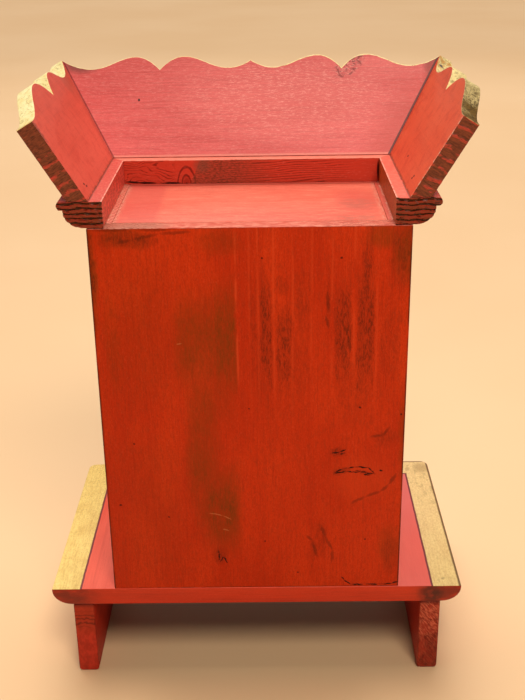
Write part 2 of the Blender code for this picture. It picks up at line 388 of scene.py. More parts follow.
# %% [markdown]
# ## Back of the cabinet
# The back is the face that the photograph shows best: orange-red paint with bright lines where two strokes of
# the brush met, olive-brown stains where the paint was wiped, a knot with black cracks in it, and small
# scratches. They are few and each has its own place, so they are listed by that place on the board in
# millimetres, as a restorer would note them. A patch has a span, a rise and a strength, an oval has a middle,
# a reach and a strength, and a scratch is a row of points.

# %% Colours of the back
BACK_FULL = srgb(196, 48, 6)
BACK_THIN = srgb(210, 57, 11)
BACK_STREAK = srgb(152, 30, 4)
OLIVE = srgb(112, 56, 6)
SMEAR_RED = srgb(124, 36, 8)
SMEAR_BROWN = srgb(66, 26, 6)
OUTER_FACE = 104.0, 112.0
BRUSH_LINE_HALF_MM = 1.4
CRACK_HALF_MM = 0.95
print("cabinet red:", [round(c, 3) for c in BACK_FULL[:3]])

# %% Brush lines and smears of the back
BRUSH_LINES = {
    11.9: 0.9, 1.2: 0.3, -5.6: 0.4, -18.2: 0.5, -33.2: 0.5, -48.3: 0.35, -65.0: 0.4, -82.4: 0.45, -101.0: 0.4,
}
SMEAR_PANELS = [
    ((-4.6, 0.6), (296, 376), 0.4), ((-16.6, -7.4), (300, 372), 1.0), ((-32.0, -20.4), (296, 352), 1.0),
    ((-46.6, -35.2), (338, 380), 0.45), ((-63.4, -60.2), (342, 372), 0.7), ((-80.2, -67.4), (296, 372), 0.95),
    ((-98.6, -85.0), (290, 378), 1.0), ((-97.0, -88.0), (360, 410), 0.8), ((-120, -104), (296, 352), 0.35),
    ((-16.0, -3.0), (268, 330), 0.3), ((-46.0, -20.0), (280, 330), 0.3), ((-98.0, -70.0), (262, 300), 0.3),
]
SMUDGES = [
    ((-121, 400), (14, 36), 0.55), ((96, 416), (30, 9), 0.75), ((20, 412), (12, 10), 0.2),
    ((-58, 143), (6, 26), 0.5), ((126, 392), (5, 40), 0.8), ((-52, 132), (5, 18), 0.4),
    ((-118, 124), (9, 26), 0.5), ((-112, 240), (14, 10), 0.5), ((31, 124), (8, 12), 0.6),
    ((-70, 226), (9, 5), 0.8), ((-74, 208), (9, 5), 0.8), ((-24, 376), (8, 10), 0.5),
]
print("smears:", len(SMEAR_PANELS) + len(SMUDGES), "between", len(BRUSH_LINES), "brush lines")

# %% Olive stains of the back
OLIVE_PANELS = [
    ((24, 62), (294, 362), 0.75, 10.0), ((12.8, 30), (290, 370), 0.85, 1.6),
    ((16, 56), (262, 306), 0.4, 8.0), ((30, 54), (176, 296), 0.6, 7.0), ((36, 56), (182, 244), 0.7, 5.0),
    ((14, 42), (140, 204), 1.0, 6.0), ((20, 50), (150, 210), 0.6, 9.0), ((64, 110), (280, 390), 0.22, 20.0),
    ((60, 110), (110, 240), 0.18, 24.0),
]
OLIVE_OVALS = [
    ((-124, 404), (16, 32), 0.75), ((-104, 416), (18, 12), 0.6), ((24, 413), (22, 14), 0.35),
    ((127, 380), (8, 60), 0.8), ((-117, 134), (14, 26), 0.4), ((98, 417), (26, 13), 0.45),
    ((-127, 240), (6, 60), 0.5), ((112, 330), (10, 60), 0.35),
]
print("olive stains:", len(OLIVE_PANELS) + len(OLIVE_OVALS))

# %% Cracks and scratches of the back
DARK_STROKES = [
    [(-69.0, 207.0), (-76.0, 211.0), (-86.0, 212.2), (-97.0, 211.6), (-103.0, 205.8)],
    [(-68.0, 206.4), (-78.0, 207.6), (-90.0, 206.8), (-104.0, 205.2)],
    [(-86.0, 208.4), (-97.0, 207.6)], [(-92.0, 204.8), (-100.0, 204.0)],
    [(-107.2, 208.8), (-109.4, 208.2)],
    [(-65.8, 225.8), (-72.7, 226.6), (-78.4, 229.4)], [(-73.4, 224.0), (-77.4, 226.0)],
    [(-75.6, 101.2), (-79.0, 97.4), (-84.0, 92.8), (-97.3, 92.6),
     (-112.0, 92.7), (-121.1, 93.4), (-127.2, 95.6)],
    [(32.6, 130.2), (31.6, 118.0)], [(31.6, 118.0), (28.0, 123.4), (25.0, 116.2)],
]
FAINT_STROKES = [
    [(-72, 347), (-78, 334), (-80, 318)], [(-61, 372), (-62.4, 352)], [(-60, 350), (-62.4, 340)],
    [(104.0, 413.0), (92.0, 415.6), (70.9, 420.0), (44.9, 421.8)],
    [(126.0, 423.6), (90.0, 423.8), (60.0, 423.2)],
    [(-99.0, 241.3), (-109.0, 242.2), (-114.4, 249.8)],
    [(-83.0, 176.6), (-95.2, 182.9), (-108.5, 188.1), (-114.9, 194.2), (-122.0, 206.0)],
    [(-57.5, 154.5), (-61.1, 142.9), (-67.8, 129.0), (-67.2, 116.0)],
    [(-45.5, 143.6), (-49.4, 139.6), (-54.6, 121.5)],
]
PALE_STROKES = [
    [(40.4, 168.1), (27.4, 165.6), (20.6, 161.0)], [(61.0, 327.4), (57.2, 327.7)],
    [(28.2, 151.4), (22.8, 149.8)],
]
SPECKS = [
    (-71.6, 399.0), (100.8, 236.2), (115.7, 176.9), (74.8, 164.6), (-37.3, 106.0),
    (-8.4, 138.8), (-123.4, 261.6), (-89.1, 268.4), (-9.4, 399.5), (-96.0, 140.0), (3.4, 268.0),
]
print("strokes:", len(DARK_STROKES) + len(FAINT_STROKES) + len(PALE_STROKES), "specks:", len(SPECKS))

# %% Top edges of the upright boards
TOP_EDGE = 424.2, 424.6


def edge_grain(paint, shift):
    """Salmon end grain, with grime in the saw marks at one end of the back and cracks at the other."""
    pale = paint.cloud((6, 1.2, 2), 0.40, 0.66, detail=4.0, shift=shift)
    colour = paint.mix(pale, srgb(196, 88, 74), srgb(228, 144, 126))
    lean = paint.x * 0.66 + paint.y * 1.5 + paint.noise(paint.place, (9, 9, 9), shift=shift) * 9.0
    saw = paint.math("SINE", lean * 1.7).rise(-0.2, 0.7)
    sawn_end = paint.mark("xy", (98, 107), (44, 16), soft=0.7)
    colour = paint.mix(sawn_end * 0.7, colour, srgb(196, 134, 116))
    colour = paint.mix(saw * sawn_end * 0.9, colour, srgb(120, 56, 42))
    wander = paint.noise(paint.place, (12, 1.3, 4), detail=4.0, roughness=0.7, shift=shift + 2)
    cracks = wander.distance(0.5).rise(0.024, 0.004) * paint.mark("xy", (-92, 107), (52, 12), soft=0.6)
    colour = paint.mix(cracks, colour, srgb(96, 40, 28))
    return paint.mix(paint.y.distance(99.2).rise(0.9, 0.3) * 0.4, colour, srgb(250, 186, 160))


print("top edges show their end grain")

# %% [markdown]
# ## Laying the marks on the back
# On the real board the marks came one after another: the brush first, then grime wiped into the wet paint,
# then the knocks of years. The functions below follow that order, each over the colour that the last one
# left. Most masks are pushed about by noise, because a patch with a clean edge looks printed.

# %% Brushed paint of the back


def brushed_back(paint, outer, wavy_x):
    """Mottled orange-red, rubbed brighter round the knot, with bright lines between strokes of the brush."""
    colour, relief = coats(paint, "z", BACK_FULL, BACK_THIN, BACK_STREAK,
                           streak_share=0.32, band_share=0.12, grit_share=0.4)
    mottle = paint.cloud((1.6, 1.6, 7.0), 0.47, 0.66, detail=4.0, roughness=0.8, shift=14)
    colour = paint.mix(mottle * 0.36, colour, srgb(146, 48, 18))
    rubbed = paint.mark("xz", (-92, 200), (36, 28), soft=0.95) * outer
    colour = paint.mix(rubbed * 0.35, colour, srgb(210, 66, 24))
    high_up = paint.z.rise(230.0, 320.0) * outer
    for place, strength in BRUSH_LINES.items():
        fade = paint.cloud((9, 9, 44), 0.38, 0.56, shift=place) * high_up
        line = wavy_x.distance(place).rise(BRUSH_LINE_HALF_MM, 0.2) * fade
        colour = paint.mix(line * strength * 0.75, colour, srgb(220, 74, 32))
    return colour, relief


print("brush lines are up to", BRUSH_LINE_HALF_MM * 2, "mm wide")

# %% Stains and smears of the back


def stained(paint, colour, outer, ragged, ragged_x):
    """Olive stains, with fine upright hairs of the paint below."""
    grains = paint.noise(paint.place, (1.0, 1.0, 5.0), detail=4.0, roughness=0.75, shift=15)
    ovals = (paint.mark("xz", *oval, soft=0.95, place=ragged) * share for *oval, share in OLIVE_OVALS)
    panels = (paint.panel(ragged_x, paint.z, span, rise, soft, 26.0) * share
              for span, rise, share, soft in OLIVE_PANELS)
    cloudy = strongest(ovals).at_least(strongest(panels))
    blotches = paint.cloud((14, 14, 26), 0.30, 0.62, shift=12)
    olive = cloudy * outer * (grains.rise(0.40, 0.62) * 0.45 + blotches * 0.25 + 0.38)
    return paint.mix(olive * 0.84, colour, OLIVE)


def smeared(paint, colour, outer, ragged, ragged_x, ragged_z):
    """Grime dragged down between the brush lines: the colour, and where its brown flecks are."""
    ovals = strongest(paint.mark("xz", *oval, soft=0.8, place=ragged) * share for *oval, share in SMUDGES)
    panels = (paint.panel(ragged_x, ragged_z, span, rise, 1.4, 24.0) * share
              for span, rise, share in SMEAR_PANELS)
    where = ovals.at_least(strongest(panels))
    smear = where * outer * (paint.cloud((5, 5, 16), 0.30, 0.60, shift=13) * 0.5 + 0.5)
    colour = paint.mix(smear * 0.4, colour, SMEAR_RED)
    flecks = paint.cloud((1.0, 1.0, 4.0), 0.46, 0.60, detail=3.0, roughness=0.7, shift=18)
    return paint.mix(smear * flecks * 0.62, colour, SMEAR_BROWN), smear, flecks


print("stains and smears keep to the outer face")

# %% Cracks laid on the back


def scratched(paint, colour, outer):
    """Faint strokes, pale scratches, black cracks and specks: the colour, and where the cracks are."""
    shaky = paint.wobbled(2.4, 3.5)
    cracks = (paint.strokes("xz", points, CRACK_HALF_MM, place=shaky) for points in DARK_STROKES)
    dark = strongest(cracks) * outer
    specks = strongest(paint.mark("xz", place, (1.2, 1.2), place=shaky) for place in SPECKS)
    faint = strongest(paint.strokes("xz", points, 1.8, soft=0.9, place=shaky) for points in FAINT_STROKES)
    pale = strongest(paint.strokes("xz", points, 0.7, place=shaky) for points in PALE_STROKES)
    colour = paint.mix(faint * outer * 0.45, colour, SMEAR_BROWN)
    colour = paint.mix(pale * outer * 0.5, colour, srgb(206, 124, 76))
    broken = paint.cloud((3, 3, 2), 0.34, 0.46, shift=19)
    return paint.mix(dark * broken + specks * outer * 0.8, colour, PIT_AND_SHADOW_BROWN), dark


print("cracks are up to", CRACK_HALF_MM * 2, "mm wide")

# %% Finish of the back board


def back_finish():
    paint = Finish("brushed_cabinet_red_back", gloss=0.12)
    low, high = box_mm("back_board")
    outer = paint.y.rise(*OUTER_FACE)
    wavy_x = paint.x + paint.noise(paint.place, (30, 30, 160), shift=5) * 2.4 - 1.2
    colour, relief = brushed_back(paint, outer, wavy_x)
    ragged_x = wavy_x + paint.noise(paint.place, (3, 3, 9), shift=6) * 4.0 - 2.0
    ragged_z = paint.z + paint.noise(paint.place, (4, 4, 60), shift=8) * 60.0 - 30.0
    ragged = paint.wobbled(9.0, 14.0)
    colour = stained(paint, colour, outer, ragged, ragged_x)
    colour, smear, flecks = smeared(paint, colour, outer, ragged, ragged_x, ragged_z)
    colour, dark = scratched(paint, colour, outer)
    edge = paint.x.distance().rise(124.8, 126.6) * paint.cloud((16, 16, 30), 0.30, 0.52, shift=20)
    colour = paint.mix(edge * paint.y.rise(113.4, 114.6) * 0.75, colour, SMEAR_BROWN)
    colour = worn_arris(paint, colour, low, high, SMEAR_BROWN)
    colour = paint.mix(paint.z.rise(*TOP_EDGE), colour, edge_grain(paint, 17))
    relief = relief - dark * 0.8 + smear * flecks * 0.25
    return paint.finish(colour, relief, 0.22, flecks * smear * 0.1 + 0.44)


BACK_RED = back_finish()
print("back finish:", len(BACK_RED.node_tree.nodes), "nodes")

# %% [markdown]
# ## Plain boards of the cabinet
# The sides and the front are the same paint without the marks of the back, as nothing is known of theirs. The
# grain of all three runs upwards. The joint between a side board and the tray has crumbs of glue and dirt on
# it, in a zigzag that a sine wave bent by noise draws well.

# %% Joint of the tray and a side board
JOINT_X = 109.4


def zigzag(paint, colour):
    """Crumbs of glue and dirt in a zigzag on the joint between the tray and one side board."""
    on_joint = paint.x.distance(JOINT_X).rise(3.4, 1.8)
    bend = paint.noise(paint.place, (7, 7, 7), shift=61) * 7.0
    wave = paint.math("SINE", paint.y * 1.5 + paint.x * 1.3 + bend)
    colour = paint.mix(wave.rise(0.1, 0.8) * on_joint * 0.65, colour, srgb(234, 182, 160))
    return paint.mix(wave.rise(-0.4, -0.9) * on_joint * 0.55, colour, srgb(132, 50, 40))


print("joint at", JOINT_X, "mm from the middle")

# %% Finishes of the sides and the front


def upright_finish(name, node, shift):
    """Cabinet red with a few upright olive smears, and a salmon top edge."""
    paint = Finish(name, gloss=0.2)
    low, high = box_mm(node)
    colour, relief = coats(paint, "z", BACK_FULL, BACK_THIN, BACK_STREAK, shift=shift)
    smear = paint.cloud(along("z", 90, 16), 0.56, 0.76, shift=shift + 2)
    smear = smear * paint.cloud(along("z", 16, 1.3), 0.42, 0.60, detail=4.0, shift=shift + 4)
    colour = paint.mix(smear * 0.7, colour, OLIVE)
    colour = worn_arris(paint, colour, low, high, SMEAR_BROWN)
    top = edge_grain(paint, shift)
    crumbs = paint.cloud((1.6, 2.2, 2.0), 0.44, 0.56, shift=shift + 6) * paint.x.distance().rise(111.4, 112.6)
    top = paint.mix(paint.x.distance().rise(115.0, 113.0) * 0.8, top, srgb(222, 92, 76))
    top = paint.mix(crumbs * 0.7, top, srgb(226, 172, 148))
    colour = paint.mix(paint.z.rise(*TOP_EDGE), colour, zigzag(paint, top))
    return paint.finish(colour, relief, 0.22, smear * 0.1 + 0.42)


SIDE_REDS = {side: upright_finish(f"brushed_cabinet_red_{side}", f"side_board_{side}", shift)
             for side, shift in (("left", 41), ("right", 57))}
FRONT_RED = upright_finish("brushed_cabinet_red_front", "front_frame", 73)
print("upright finishes:", len(SIDE_REDS) + 1)

# %% [markdown]
# ## Tray on top of the cabinet
# The board that closes the top is a paler salmon, brushed across the cabinet, and rosier towards one end. Its
# paint is thin, so the grain shows more, and grime has gathered along its sides. Its far edge is darkened with
# painted shade at the foot of the front rail. It is the same coats again with more of each layer, and a few
# soft ovals for the grime.

# %% Finish of the tray


def tray_finish():
    paint = Finish("salmon_tray_red")
    colour, relief = coats(paint, "x", srgb(222, 96, 78), srgb(232, 116, 96), srgb(182, 70, 56), shift=31,
                           streak_share=0.75, grit_share=0.45)
    pale = paint.cloud((13, 1.3, 2), 0.48, 0.68, detail=5.0, roughness=0.8, shift=37)
    colour = paint.mix(pale * 0.8, colour, srgb(246, 150, 126))
    rosy = paint.x.rise(71.0, 78.0) + paint.mark("xy", (-90, 40), (26, 46), soft=0.9) * 0.8
    colour = paint.mix(rosy * 0.6, colour, srgb(200, 84, 76))
    smoky = paint.mark("xy", (-88, 50), (20, 22), soft=0.9) + paint.mark("xy", (-84, 92), (30, 10), soft=0.9)
    colour = paint.mix(smoky * paint.cloud((9, 5, 5), 0.3, 0.6, shift=34) * 0.5, colour, srgb(170, 96, 80))
    crumbs = paint.cloud((1.6, 2.4, 2.0), 0.46, 0.60, shift=9) * paint.x.distance().rise(103.0, 107.4)
    colour = paint.mix(crumbs * 0.55, colour, srgb(226, 172, 150))
    colour = zigzag(paint, colour)
    # Painted shade: the far edge of the tray, at the foot of the front rail, is darkened.
    shaded_far_edge = paint.y.rise(-15.0, -19.6)
    colour = paint.mix(shaded_far_edge * 0.6, colour, srgb(150, 40, 24))
    scratch = paint.mark("xy", (46, 42), (7, 0.9), soft=0.8)
    colour = paint.mix(scratch * 0.5, colour, srgb(150, 50, 40))
    return paint.finish(colour, relief, 0.2, relief * 0.1 + 0.36)


TRAY_RED = tray_finish()
print("tray finish:", len(TRAY_RED.node_tree.nodes), "nodes")

# %% [markdown]
# ## Top of the table
# The table is red between a gold border and a thin maroon line that was ruled before the gold went on. The
# border is only paint, so it is a colour and not a step. Its edge is found from the distance past a ruled
# rectangle, and the hand of the painter is a little noise added to the place before measuring.

# %% Gold paint
BORDER_INNER_X = 158.6
BORDER_INNER_Y = -89.0
BORDER_LINE_WIDTH = 2.1
RIM_WIDTH = 3.0
TABLE_GOLD = srgb(252, 226, 138), srgb(218, 178, 94)
GOLD_DARK = srgb(96, 74, 34)
GOLD_DIRT = srgb(128, 98, 52)


def gold_paint(paint, pale, dull, dull_share, streak_size, shift=0.0):
    """Gold paint: brushed, duller where it is thin, and speckled with dirt."""
    thin = paint.cloud((20, 20, 20), 0.38, 0.66, shift=shift) * 0.35 + dull_share
    colour = paint.mix(thin, pale, dull)
    streaks = paint.cloud(streak_size, 0.42, 0.66, detail=4.0, roughness=0.65, shift=shift + 2)
    colour = paint.mix(streaks * 0.6, colour, dull)
    specks = paint.cloud((1.3, 1.3, 1.3), 0.56, 0.68, detail=4.0, shift=shift + 5) * (dull_share + 0.2)
    return paint.mix(specks, colour, GOLD_DARK)


print("gold border:", round(box_mm("base_board")[1][0] - BORDER_INNER_X, 1), "mm wide")

# %% Gold border of the table


def border_gold(paint, x, y, low, high):
    """The border's gold: stippled, duller far off as painted shade, cooler and dirtier on the left side, with
    a brown rim there.
    """
    leftward = paint.x.rise(60.0, -60.0)
    far_shade_and_dirt = paint.y.rise(40.0, -100.0)
    # Painted shade: the gold is duller towards the far side, most on the left. The same mask also spreads the
    # dirt blotches.
    gold = gold_paint(paint, *TABLE_GOLD, far_shade_and_dirt * (leftward * 0.35 + 0.35), (1.2, 20, 2), 3)
    cool = leftward * (paint.y.rise(110.0, -20.0) * 0.2 + 0.42)
    gold = paint.mix(cool, gold, srgb(216, 188, 146))
    stipple = paint.noise(paint.place, (1.8, 3.4, 2.0), detail=3.0, roughness=0.8, shift=6)
    gold = paint.mix(stipple.rise(0.50, 0.66) * 0.26, gold, srgb(168, 132, 66))
    gold = paint.mix(stipple.rise(0.48, 0.34) * 0.3, gold, srgb(255, 240, 176))
    ragged = paint.wobbled(7.0, 9.0)
    corner = paint.mark("xy", (-175, -100), (11, 13), soft=0.95, place=ragged)
    blotches = paint.cloud((5, 14, 5), 0.50, 0.70, detail=4.0, roughness=0.7, shift=12)
    blotches = blotches * paint.x.rise(-60.0, -120.0) * (far_shade_and_dirt * 0.5 + 0.2)
    gold = paint.mix((corner * 0.45).at_least(blotches * 0.7), gold, GOLD_DIRT)
    spot = paint.mark("xy", (-169, 103), (2.4, 2.0), soft=0.9, place=ragged)
    gold = paint.mix(spot * 0.5, gold, GOLD_DIRT)
    rim = (x.distance() - (high[0] - RIM_WIDTH)).at_least(low[1] + RIM_WIDTH - y).rise(0.2, 1.6)
    return paint.mix(rim * leftward * 0.9, gold, srgb(96, 62, 26))


print("brown rim:", RIM_WIDTH, "mm wide")

# %% Finish of the table


def table_edges(paint, colour, on_top, shaky, low, high):
    """The edge that faces back, browner at its ends and smoky near one of them, and the dark underside."""
    back_edge = paint.y.rise(high[1] - 0.6, high[1] - 0.2) * (1.0 - on_top)
    ends = paint.x.distance().rise(134.0, 162.0) * paint.cloud((16, 6, 7), 0.20, 0.60, shift=8)
    smoky = paint.mark("xz", (-157, 82), (15, 13), soft=0.9, place=shaky)
    smoky = smoky * (paint.cloud((5, 5, 4), 0.30, 0.56, shift=9) * 0.5 + 0.45)
    colour = paint.mix(ends * back_edge * 0.75, colour, srgb(96, 22, 8))
    colour = paint.mix(smoky * back_edge * 0.8, colour, PIT_AND_SHADOW_BROWN)
    under = paint.z.rise(low[2] + 0.6, low[2] + 0.2)
    return paint.mix(under * 0.9, colour, srgb(58, 26, 12))


def table_finish():
    paint = Finish("table_red_and_gold")
    low, high = box_mm("base_board")
    colour, relief = coats(paint, "y", srgb(236, 82, 58), srgb(244, 100, 78), srgb(206, 62, 46), shift=91)
    shaky = paint.wobbled(0.9, 9.0)
    x, y, _ = paint.parts(shaky)
    past_line = (x.distance() - BORDER_INNER_X).at_least(BORDER_INNER_Y - y)
    on_top = paint.z.rise(high[2] - 0.5, high[2] - 0.2)
    side_red = coats(paint, "x", srgb(202, 46, 14), srgb(212, 54, 18), srgb(150, 32, 8), shift=97)[0]
    colour = paint.mix(on_top, side_red, colour)
    pinker_and_shaded = paint.x.rise(-60.0, -150.0) * on_top
    colour = paint.mix(pinker_and_shaded * 0.5, colour, srgb(226, 108, 104))
    # Painted shade: the far part of this pinker end of the top is darkened.
    colour = paint.mix(pinker_and_shaded * paint.y.rise(70.0, -60.0) * 0.6, colour, srgb(184, 92, 92))
    line = past_line.rise(-BORDER_LINE_WIDTH, -BORDER_LINE_WIDTH + 0.4)
    colour = paint.mix(line * on_top * 0.9, colour, srgb(96, 26, 38))
    gold = border_gold(paint, x, y, low, high)
    colour = paint.mix(past_line.rise(-0.3, 0.1) * on_top, colour, gold)
    colour = table_edges(paint, colour, on_top, shaky, low, high)
    return paint.finish(colour, relief, 0.2, relief * 0.1 + 0.36)


TABLE_PAINT = table_finish()
print("table finish:", len(TABLE_PAINT.node_tree.nodes), "nodes")

# %% [markdown]
# ## Feet
# The feet are darker than the rest, and their sawn ends drank the paint. One end is hatched by a rough saw,
# and the other shows rings of the tree in arches. The hatching is noise on leaning coordinates, and the
# arches are a sine wave of the distance from a point, which is how rings lie in a real board.

# %% Sawn ends of the feet


def hatched_end(paint, hatch, blotchy, shift):
    """Pale leaning hatches over dark blotches, and dark upright streaks further down."""
    upper = paint.z.rise(28.0, 44.0)
    colour = paint.mix(blotchy * 0.9, srgb(158, 50, 32), srgb(78, 20, 10))
    colour = paint.mix(hatch.rise(0.48, 0.56) * (upper * 0.65 + 0.3), colour, srgb(208, 104, 76))
    uprights = paint.cloud((1.2, 1.2, 30), 0.50, 0.64, detail=2.0, shift=shift + 7) * (1.0 - upper)
    return paint.mix(uprights * 0.5, colour, srgb(96, 24, 12))


def ringed_end(paint, blotchy, shift):
    """Arched rings near the top of a redder end."""
    colour = paint.mix(blotchy * 0.8, srgb(202, 56, 36), srgb(160, 40, 22))
    arch = paint.vector("LENGTH", paint.joined((paint.x - 156.6) / 1.5, 0.0, paint.z - 44.0))
    arch = arch + paint.noise(paint.place, (4, 4, 4), detail=4.0, roughness=0.7, shift=shift) * 8.0
    rings = paint.math("SINE", arch * 1.5).rise(-0.2, 0.9)
    rings = rings * paint.z.rise(46.0, 52.0) * paint.z.rise(70.0, 58.0)
    colour = paint.mix(paint.z.rise(34.0, 54.0) * 0.6, colour, srgb(156, 52, 22))
    return paint.mix(rings * 0.8, colour, srgb(88, 28, 12))


print("one foot is hatched, and the other ringed")

# %% Finishes of the feet


def foot_finish(side, shift):
    paint = Finish(f"foot_red_{side}", gloss=0.2)
    low, high = box_mm(f"foot_{side}")
    colour, relief = coats(paint, "y", srgb(178, 36, 14), srgb(192, 44, 18), srgb(112, 20, 8), shift=shift)
    back_end = paint.y.rise(high[1] - 0.6, high[1] - 0.2)
    sawn = back_end.at_least(paint.y.rise(low[1] + 0.6, low[1] + 0.2) * 0.5)
    lean = paint.x - paint.z * 0.8
    hatch = paint.noise(paint.joined(lean, 0.0, paint.z), (0.9, 1.0, 3.4), detail=4.0, shift=shift + 5)
    blotchy = paint.cloud((5, 5, 8), 0.36, 0.64, detail=4.0, roughness=0.7, shift=shift + 6)
    if side == "left":
        end_colour = hatched_end(paint, hatch, blotchy, shift)
    else:
        end_colour = ringed_end(paint, blotchy, shift)
    colour = paint.mix(sawn * 0.85, colour, end_colour)
    # Painted shadow: the top 5 mm of the foot, under the table, is darkened.
    colour = paint.mix(paint.z.rise(high[2] - 5.0, high[2]) * 0.5, colour, PIT_AND_SHADOW_BROWN)
    colour = worn_arris(paint, colour, low, high, srgb(88, 22, 8))
    return paint.finish(colour, relief + hatch * sawn * 0.4, 0.3, hatch * 0.1 + 0.42)


FOOT_REDS = {side: foot_finish(side, shift) for side, shift in (("left", 103), ("right", 117))}
print("foot finishes:", len(FOOT_REDS))

# %% [markdown]
# ## Sawn ends of rails and crown
# The ends that face back were hardly sanded, so the hard rings of the wood stand up in red ridges and the
# pits between them stay brown. The node trees further down carve that relief, and store how deep each point
# lies, and how far it is below the scalloped edge, as attributes. The paint reads the same attributes, so
# colour and relief can't drift apart.

# %% Paint of the sawn ends
CARVED = "carved"
BELOW_EDGE = "below_edge"
CROWN_LEAN = math.radians(31)
SAWN_END = 112.4, 113.2


def pitted(paint, colour, shift, pit_dark, pit_light, ridge, lean=0.0):
    """Sawn end grain: brown in the pits, and red on the rings that stand up."""
    sawn = paint.y.rise(*SAWN_END)
    across = paint.x * math.cos(lean) - paint.z * math.sin(lean)
    up = paint.x * math.sin(lean) + paint.z * math.cos(lean)
    place = paint.joined(across, 0.0, up)
    mottle = paint.noise(place, (4.6, 1.0, 0.9), detail=4.0, roughness=0.75, shift=shift).rise(0.34, 0.64)
    streaks = paint.noise(place, (6.0, 1.0, 0.7), detail=3.0, roughness=0.7, shift=shift + 1).rise(0.44, 0.58)
    raised = paint.mix(streaks * 0.65, ridge, pit_light)
    colour = paint.mix(sawn * paint.facing()[1].rise(0.3, 0.6), colour, raised)
    pits = (paint.attribute(CARVED) * sawn).rise(0.05, 0.6)
    return paint.mix(pits, colour, paint.mix(mottle, pit_dark, pit_light))


print("pits are read from the attribute", CARVED)

# %% [markdown]
# ## Paint of the rails
# The rails are red all over, and their flat inner faces look into the tray. The front one is flat-sawn: its
# grain flows at one end, circles a knot, turns grey where it was wiped, and then runs straight. Sine waves of
# a height that noise bends give such lines. The two side rails are rough, and one of them is browner.

# %% Grain of the front rail
KNOT_X = 58.0
RAIL_GRAIN = srgb(112, 20, 8)
RAIL_CRACKS = [
    [(-112.6, 425), (-112.4, 445)], [(98, 426.2), (113.4, 427.4)], [(84, 425.9), (104, 426.4)],
    [(62, 425.6), (80, 425.8)],
]


def rail_knot(paint, colour):
    """A dark-hearted knot, cut by the foot of the rail, with arched rings round it."""
    arch = paint.vector("LENGTH", paint.joined((paint.x - KNOT_X) / 8.6, 0.0, (paint.z - 425.0) / 16.5))
    arch = arch + paint.noise(paint.place, (8, 8, 6), shift=3) * 0.22
    knot = paint.math("SINE", arch * 14.0).rise(0.2, 0.95) * arch.rise(1.32, 1.12)
    colour = paint.mix(arch.rise(0.62, 0.30) * 0.5, colour, srgb(140, 24, 8))
    return paint.mix(knot * 0.75, colour, srgb(104, 18, 8))


def rail_grain(paint, colour):
    """Flowing grain on one side of the knot, and straight grain on the other."""
    x, z = paint.x, paint.z
    flow = paint.noise(paint.place, (26, 20, 15), detail=1.5, shift=2) * 30.0
    flowing = paint.math("SINE", (z + flow) * 1.9).rise(0.35, 0.95) * x.rise(66.0, 72.0)
    sway = paint.noise(paint.place, (60, 20, 14), detail=2.0, shift=6) * 7.0
    straight = paint.math("SINE", (z + x * 0.05 + sway) * 3.1).rise(0.1, 0.95)
    straight = straight * x.rise(40.0, 30.0) * x.rise(-104.0, -60.0)
    broken = paint.cloud((16, 9, 2.4), 0.34, 0.58, detail=3.0, shift=8)
    colour = paint.mix(flowing * broken * 0.75, colour, RAIL_GRAIN)
    colour = paint.mix(straight * (broken * 0.5 + 0.4) * 0.85, colour, srgb(112, 26, 12))
    return rail_knot(paint, colour)


def rail_wiped(paint, colour):
    """Pale glints all along, a grey wiped patch beside the knot, and a tan spot above it."""
    glints = paint.cloud((5, 3, 1.0), 0.54, 0.68, detail=4.0, roughness=0.8, shift=12)
    colour = paint.mix(glints * 0.3, colour, srgb(238, 128, 108))
    cut = paint.x + paint.z * 0.45 - 196.0
    grey = cut.rise(50.6, 49.2) * paint.x.rise(-30.0, 30.0)
    colour = paint.mix(grey * 0.45, colour, srgb(150, 82, 62))
    speckle = paint.cloud((2.6, 2.0, 1.1), 0.42, 0.60, detail=3.0, shift=4)
    colour = paint.mix(grey * speckle * 0.6, colour, srgb(96, 52, 30))
    tan = paint.mark("xz", (44, 441), (10, 8), soft=0.9)
    return paint.mix(tan * 0.5, colour, srgb(120, 84, 66))


print("knot at", KNOT_X, "mm along the front rail")

# %% Inner faces of the rails
SIDE_RAIL_TONES = {
    "left": (srgb(150, 88, 34), srgb(206, 112, 48), 0.3),
    "right": (srgb(164, 48, 34), srgb(255, 126, 108), 0.0),
}


def front_rail_face(paint, colour, outward):
    """The face of the front rail that looks into the tray."""
    inner = outward[1].rise(0.6, 0.9)
    face = rail_wiped(paint, rail_grain(paint, paint.mix(0.7, colour, srgb(216, 76, 54))))
    colour = paint.mix(inner, colour, face)
    crack = strongest(paint.strokes("xz", points, 1.2) for points in RAIL_CRACKS)
    return paint.mix(crack * inner, colour, PIT_AND_SHADOW_BROWN)


def side_rail_face(paint, side, colour, outward, shift):
    """The rough face of a side rail that looks into the tray, with a ragged pale foot."""
    inner = outward[0].distance().rise(0.7, 0.9) * paint.x.distance().rise(115.0, 114.0)
    rough = paint.cloud((3, 3, 2.2), 0.40, 0.62, detail=4.0, shift=shift + 3)
    tone, lit, rubbed = SIDE_RAIL_TONES[side]
    colour = paint.mix(inner * 0.9, colour, lit)
    colour = paint.mix(inner * (rough * 0.65 + rubbed), colour, tone)
    uprights = paint.cloud((2, 1.1, 14), 0.50, 0.68, detail=3.0, shift=shift + 4)
    colour = paint.mix(inner * uprights * 0.5, colour, srgb(96, 30, 12))
    ragged_foot = paint.z.rise(427.2, 425.6) * rough
    return paint.mix(inner * ragged_foot * 0.7, colour, srgb(214, 156, 134))


print("inner faces of the rails ready")

# %% Finishes of the rails
LEDGE = 445.6, 446.1
LEDGE_TONES = {"left": srgb(218, 100, 84), "right": srgb(192, 72, 64), "front": srgb(234, 132, 114)}


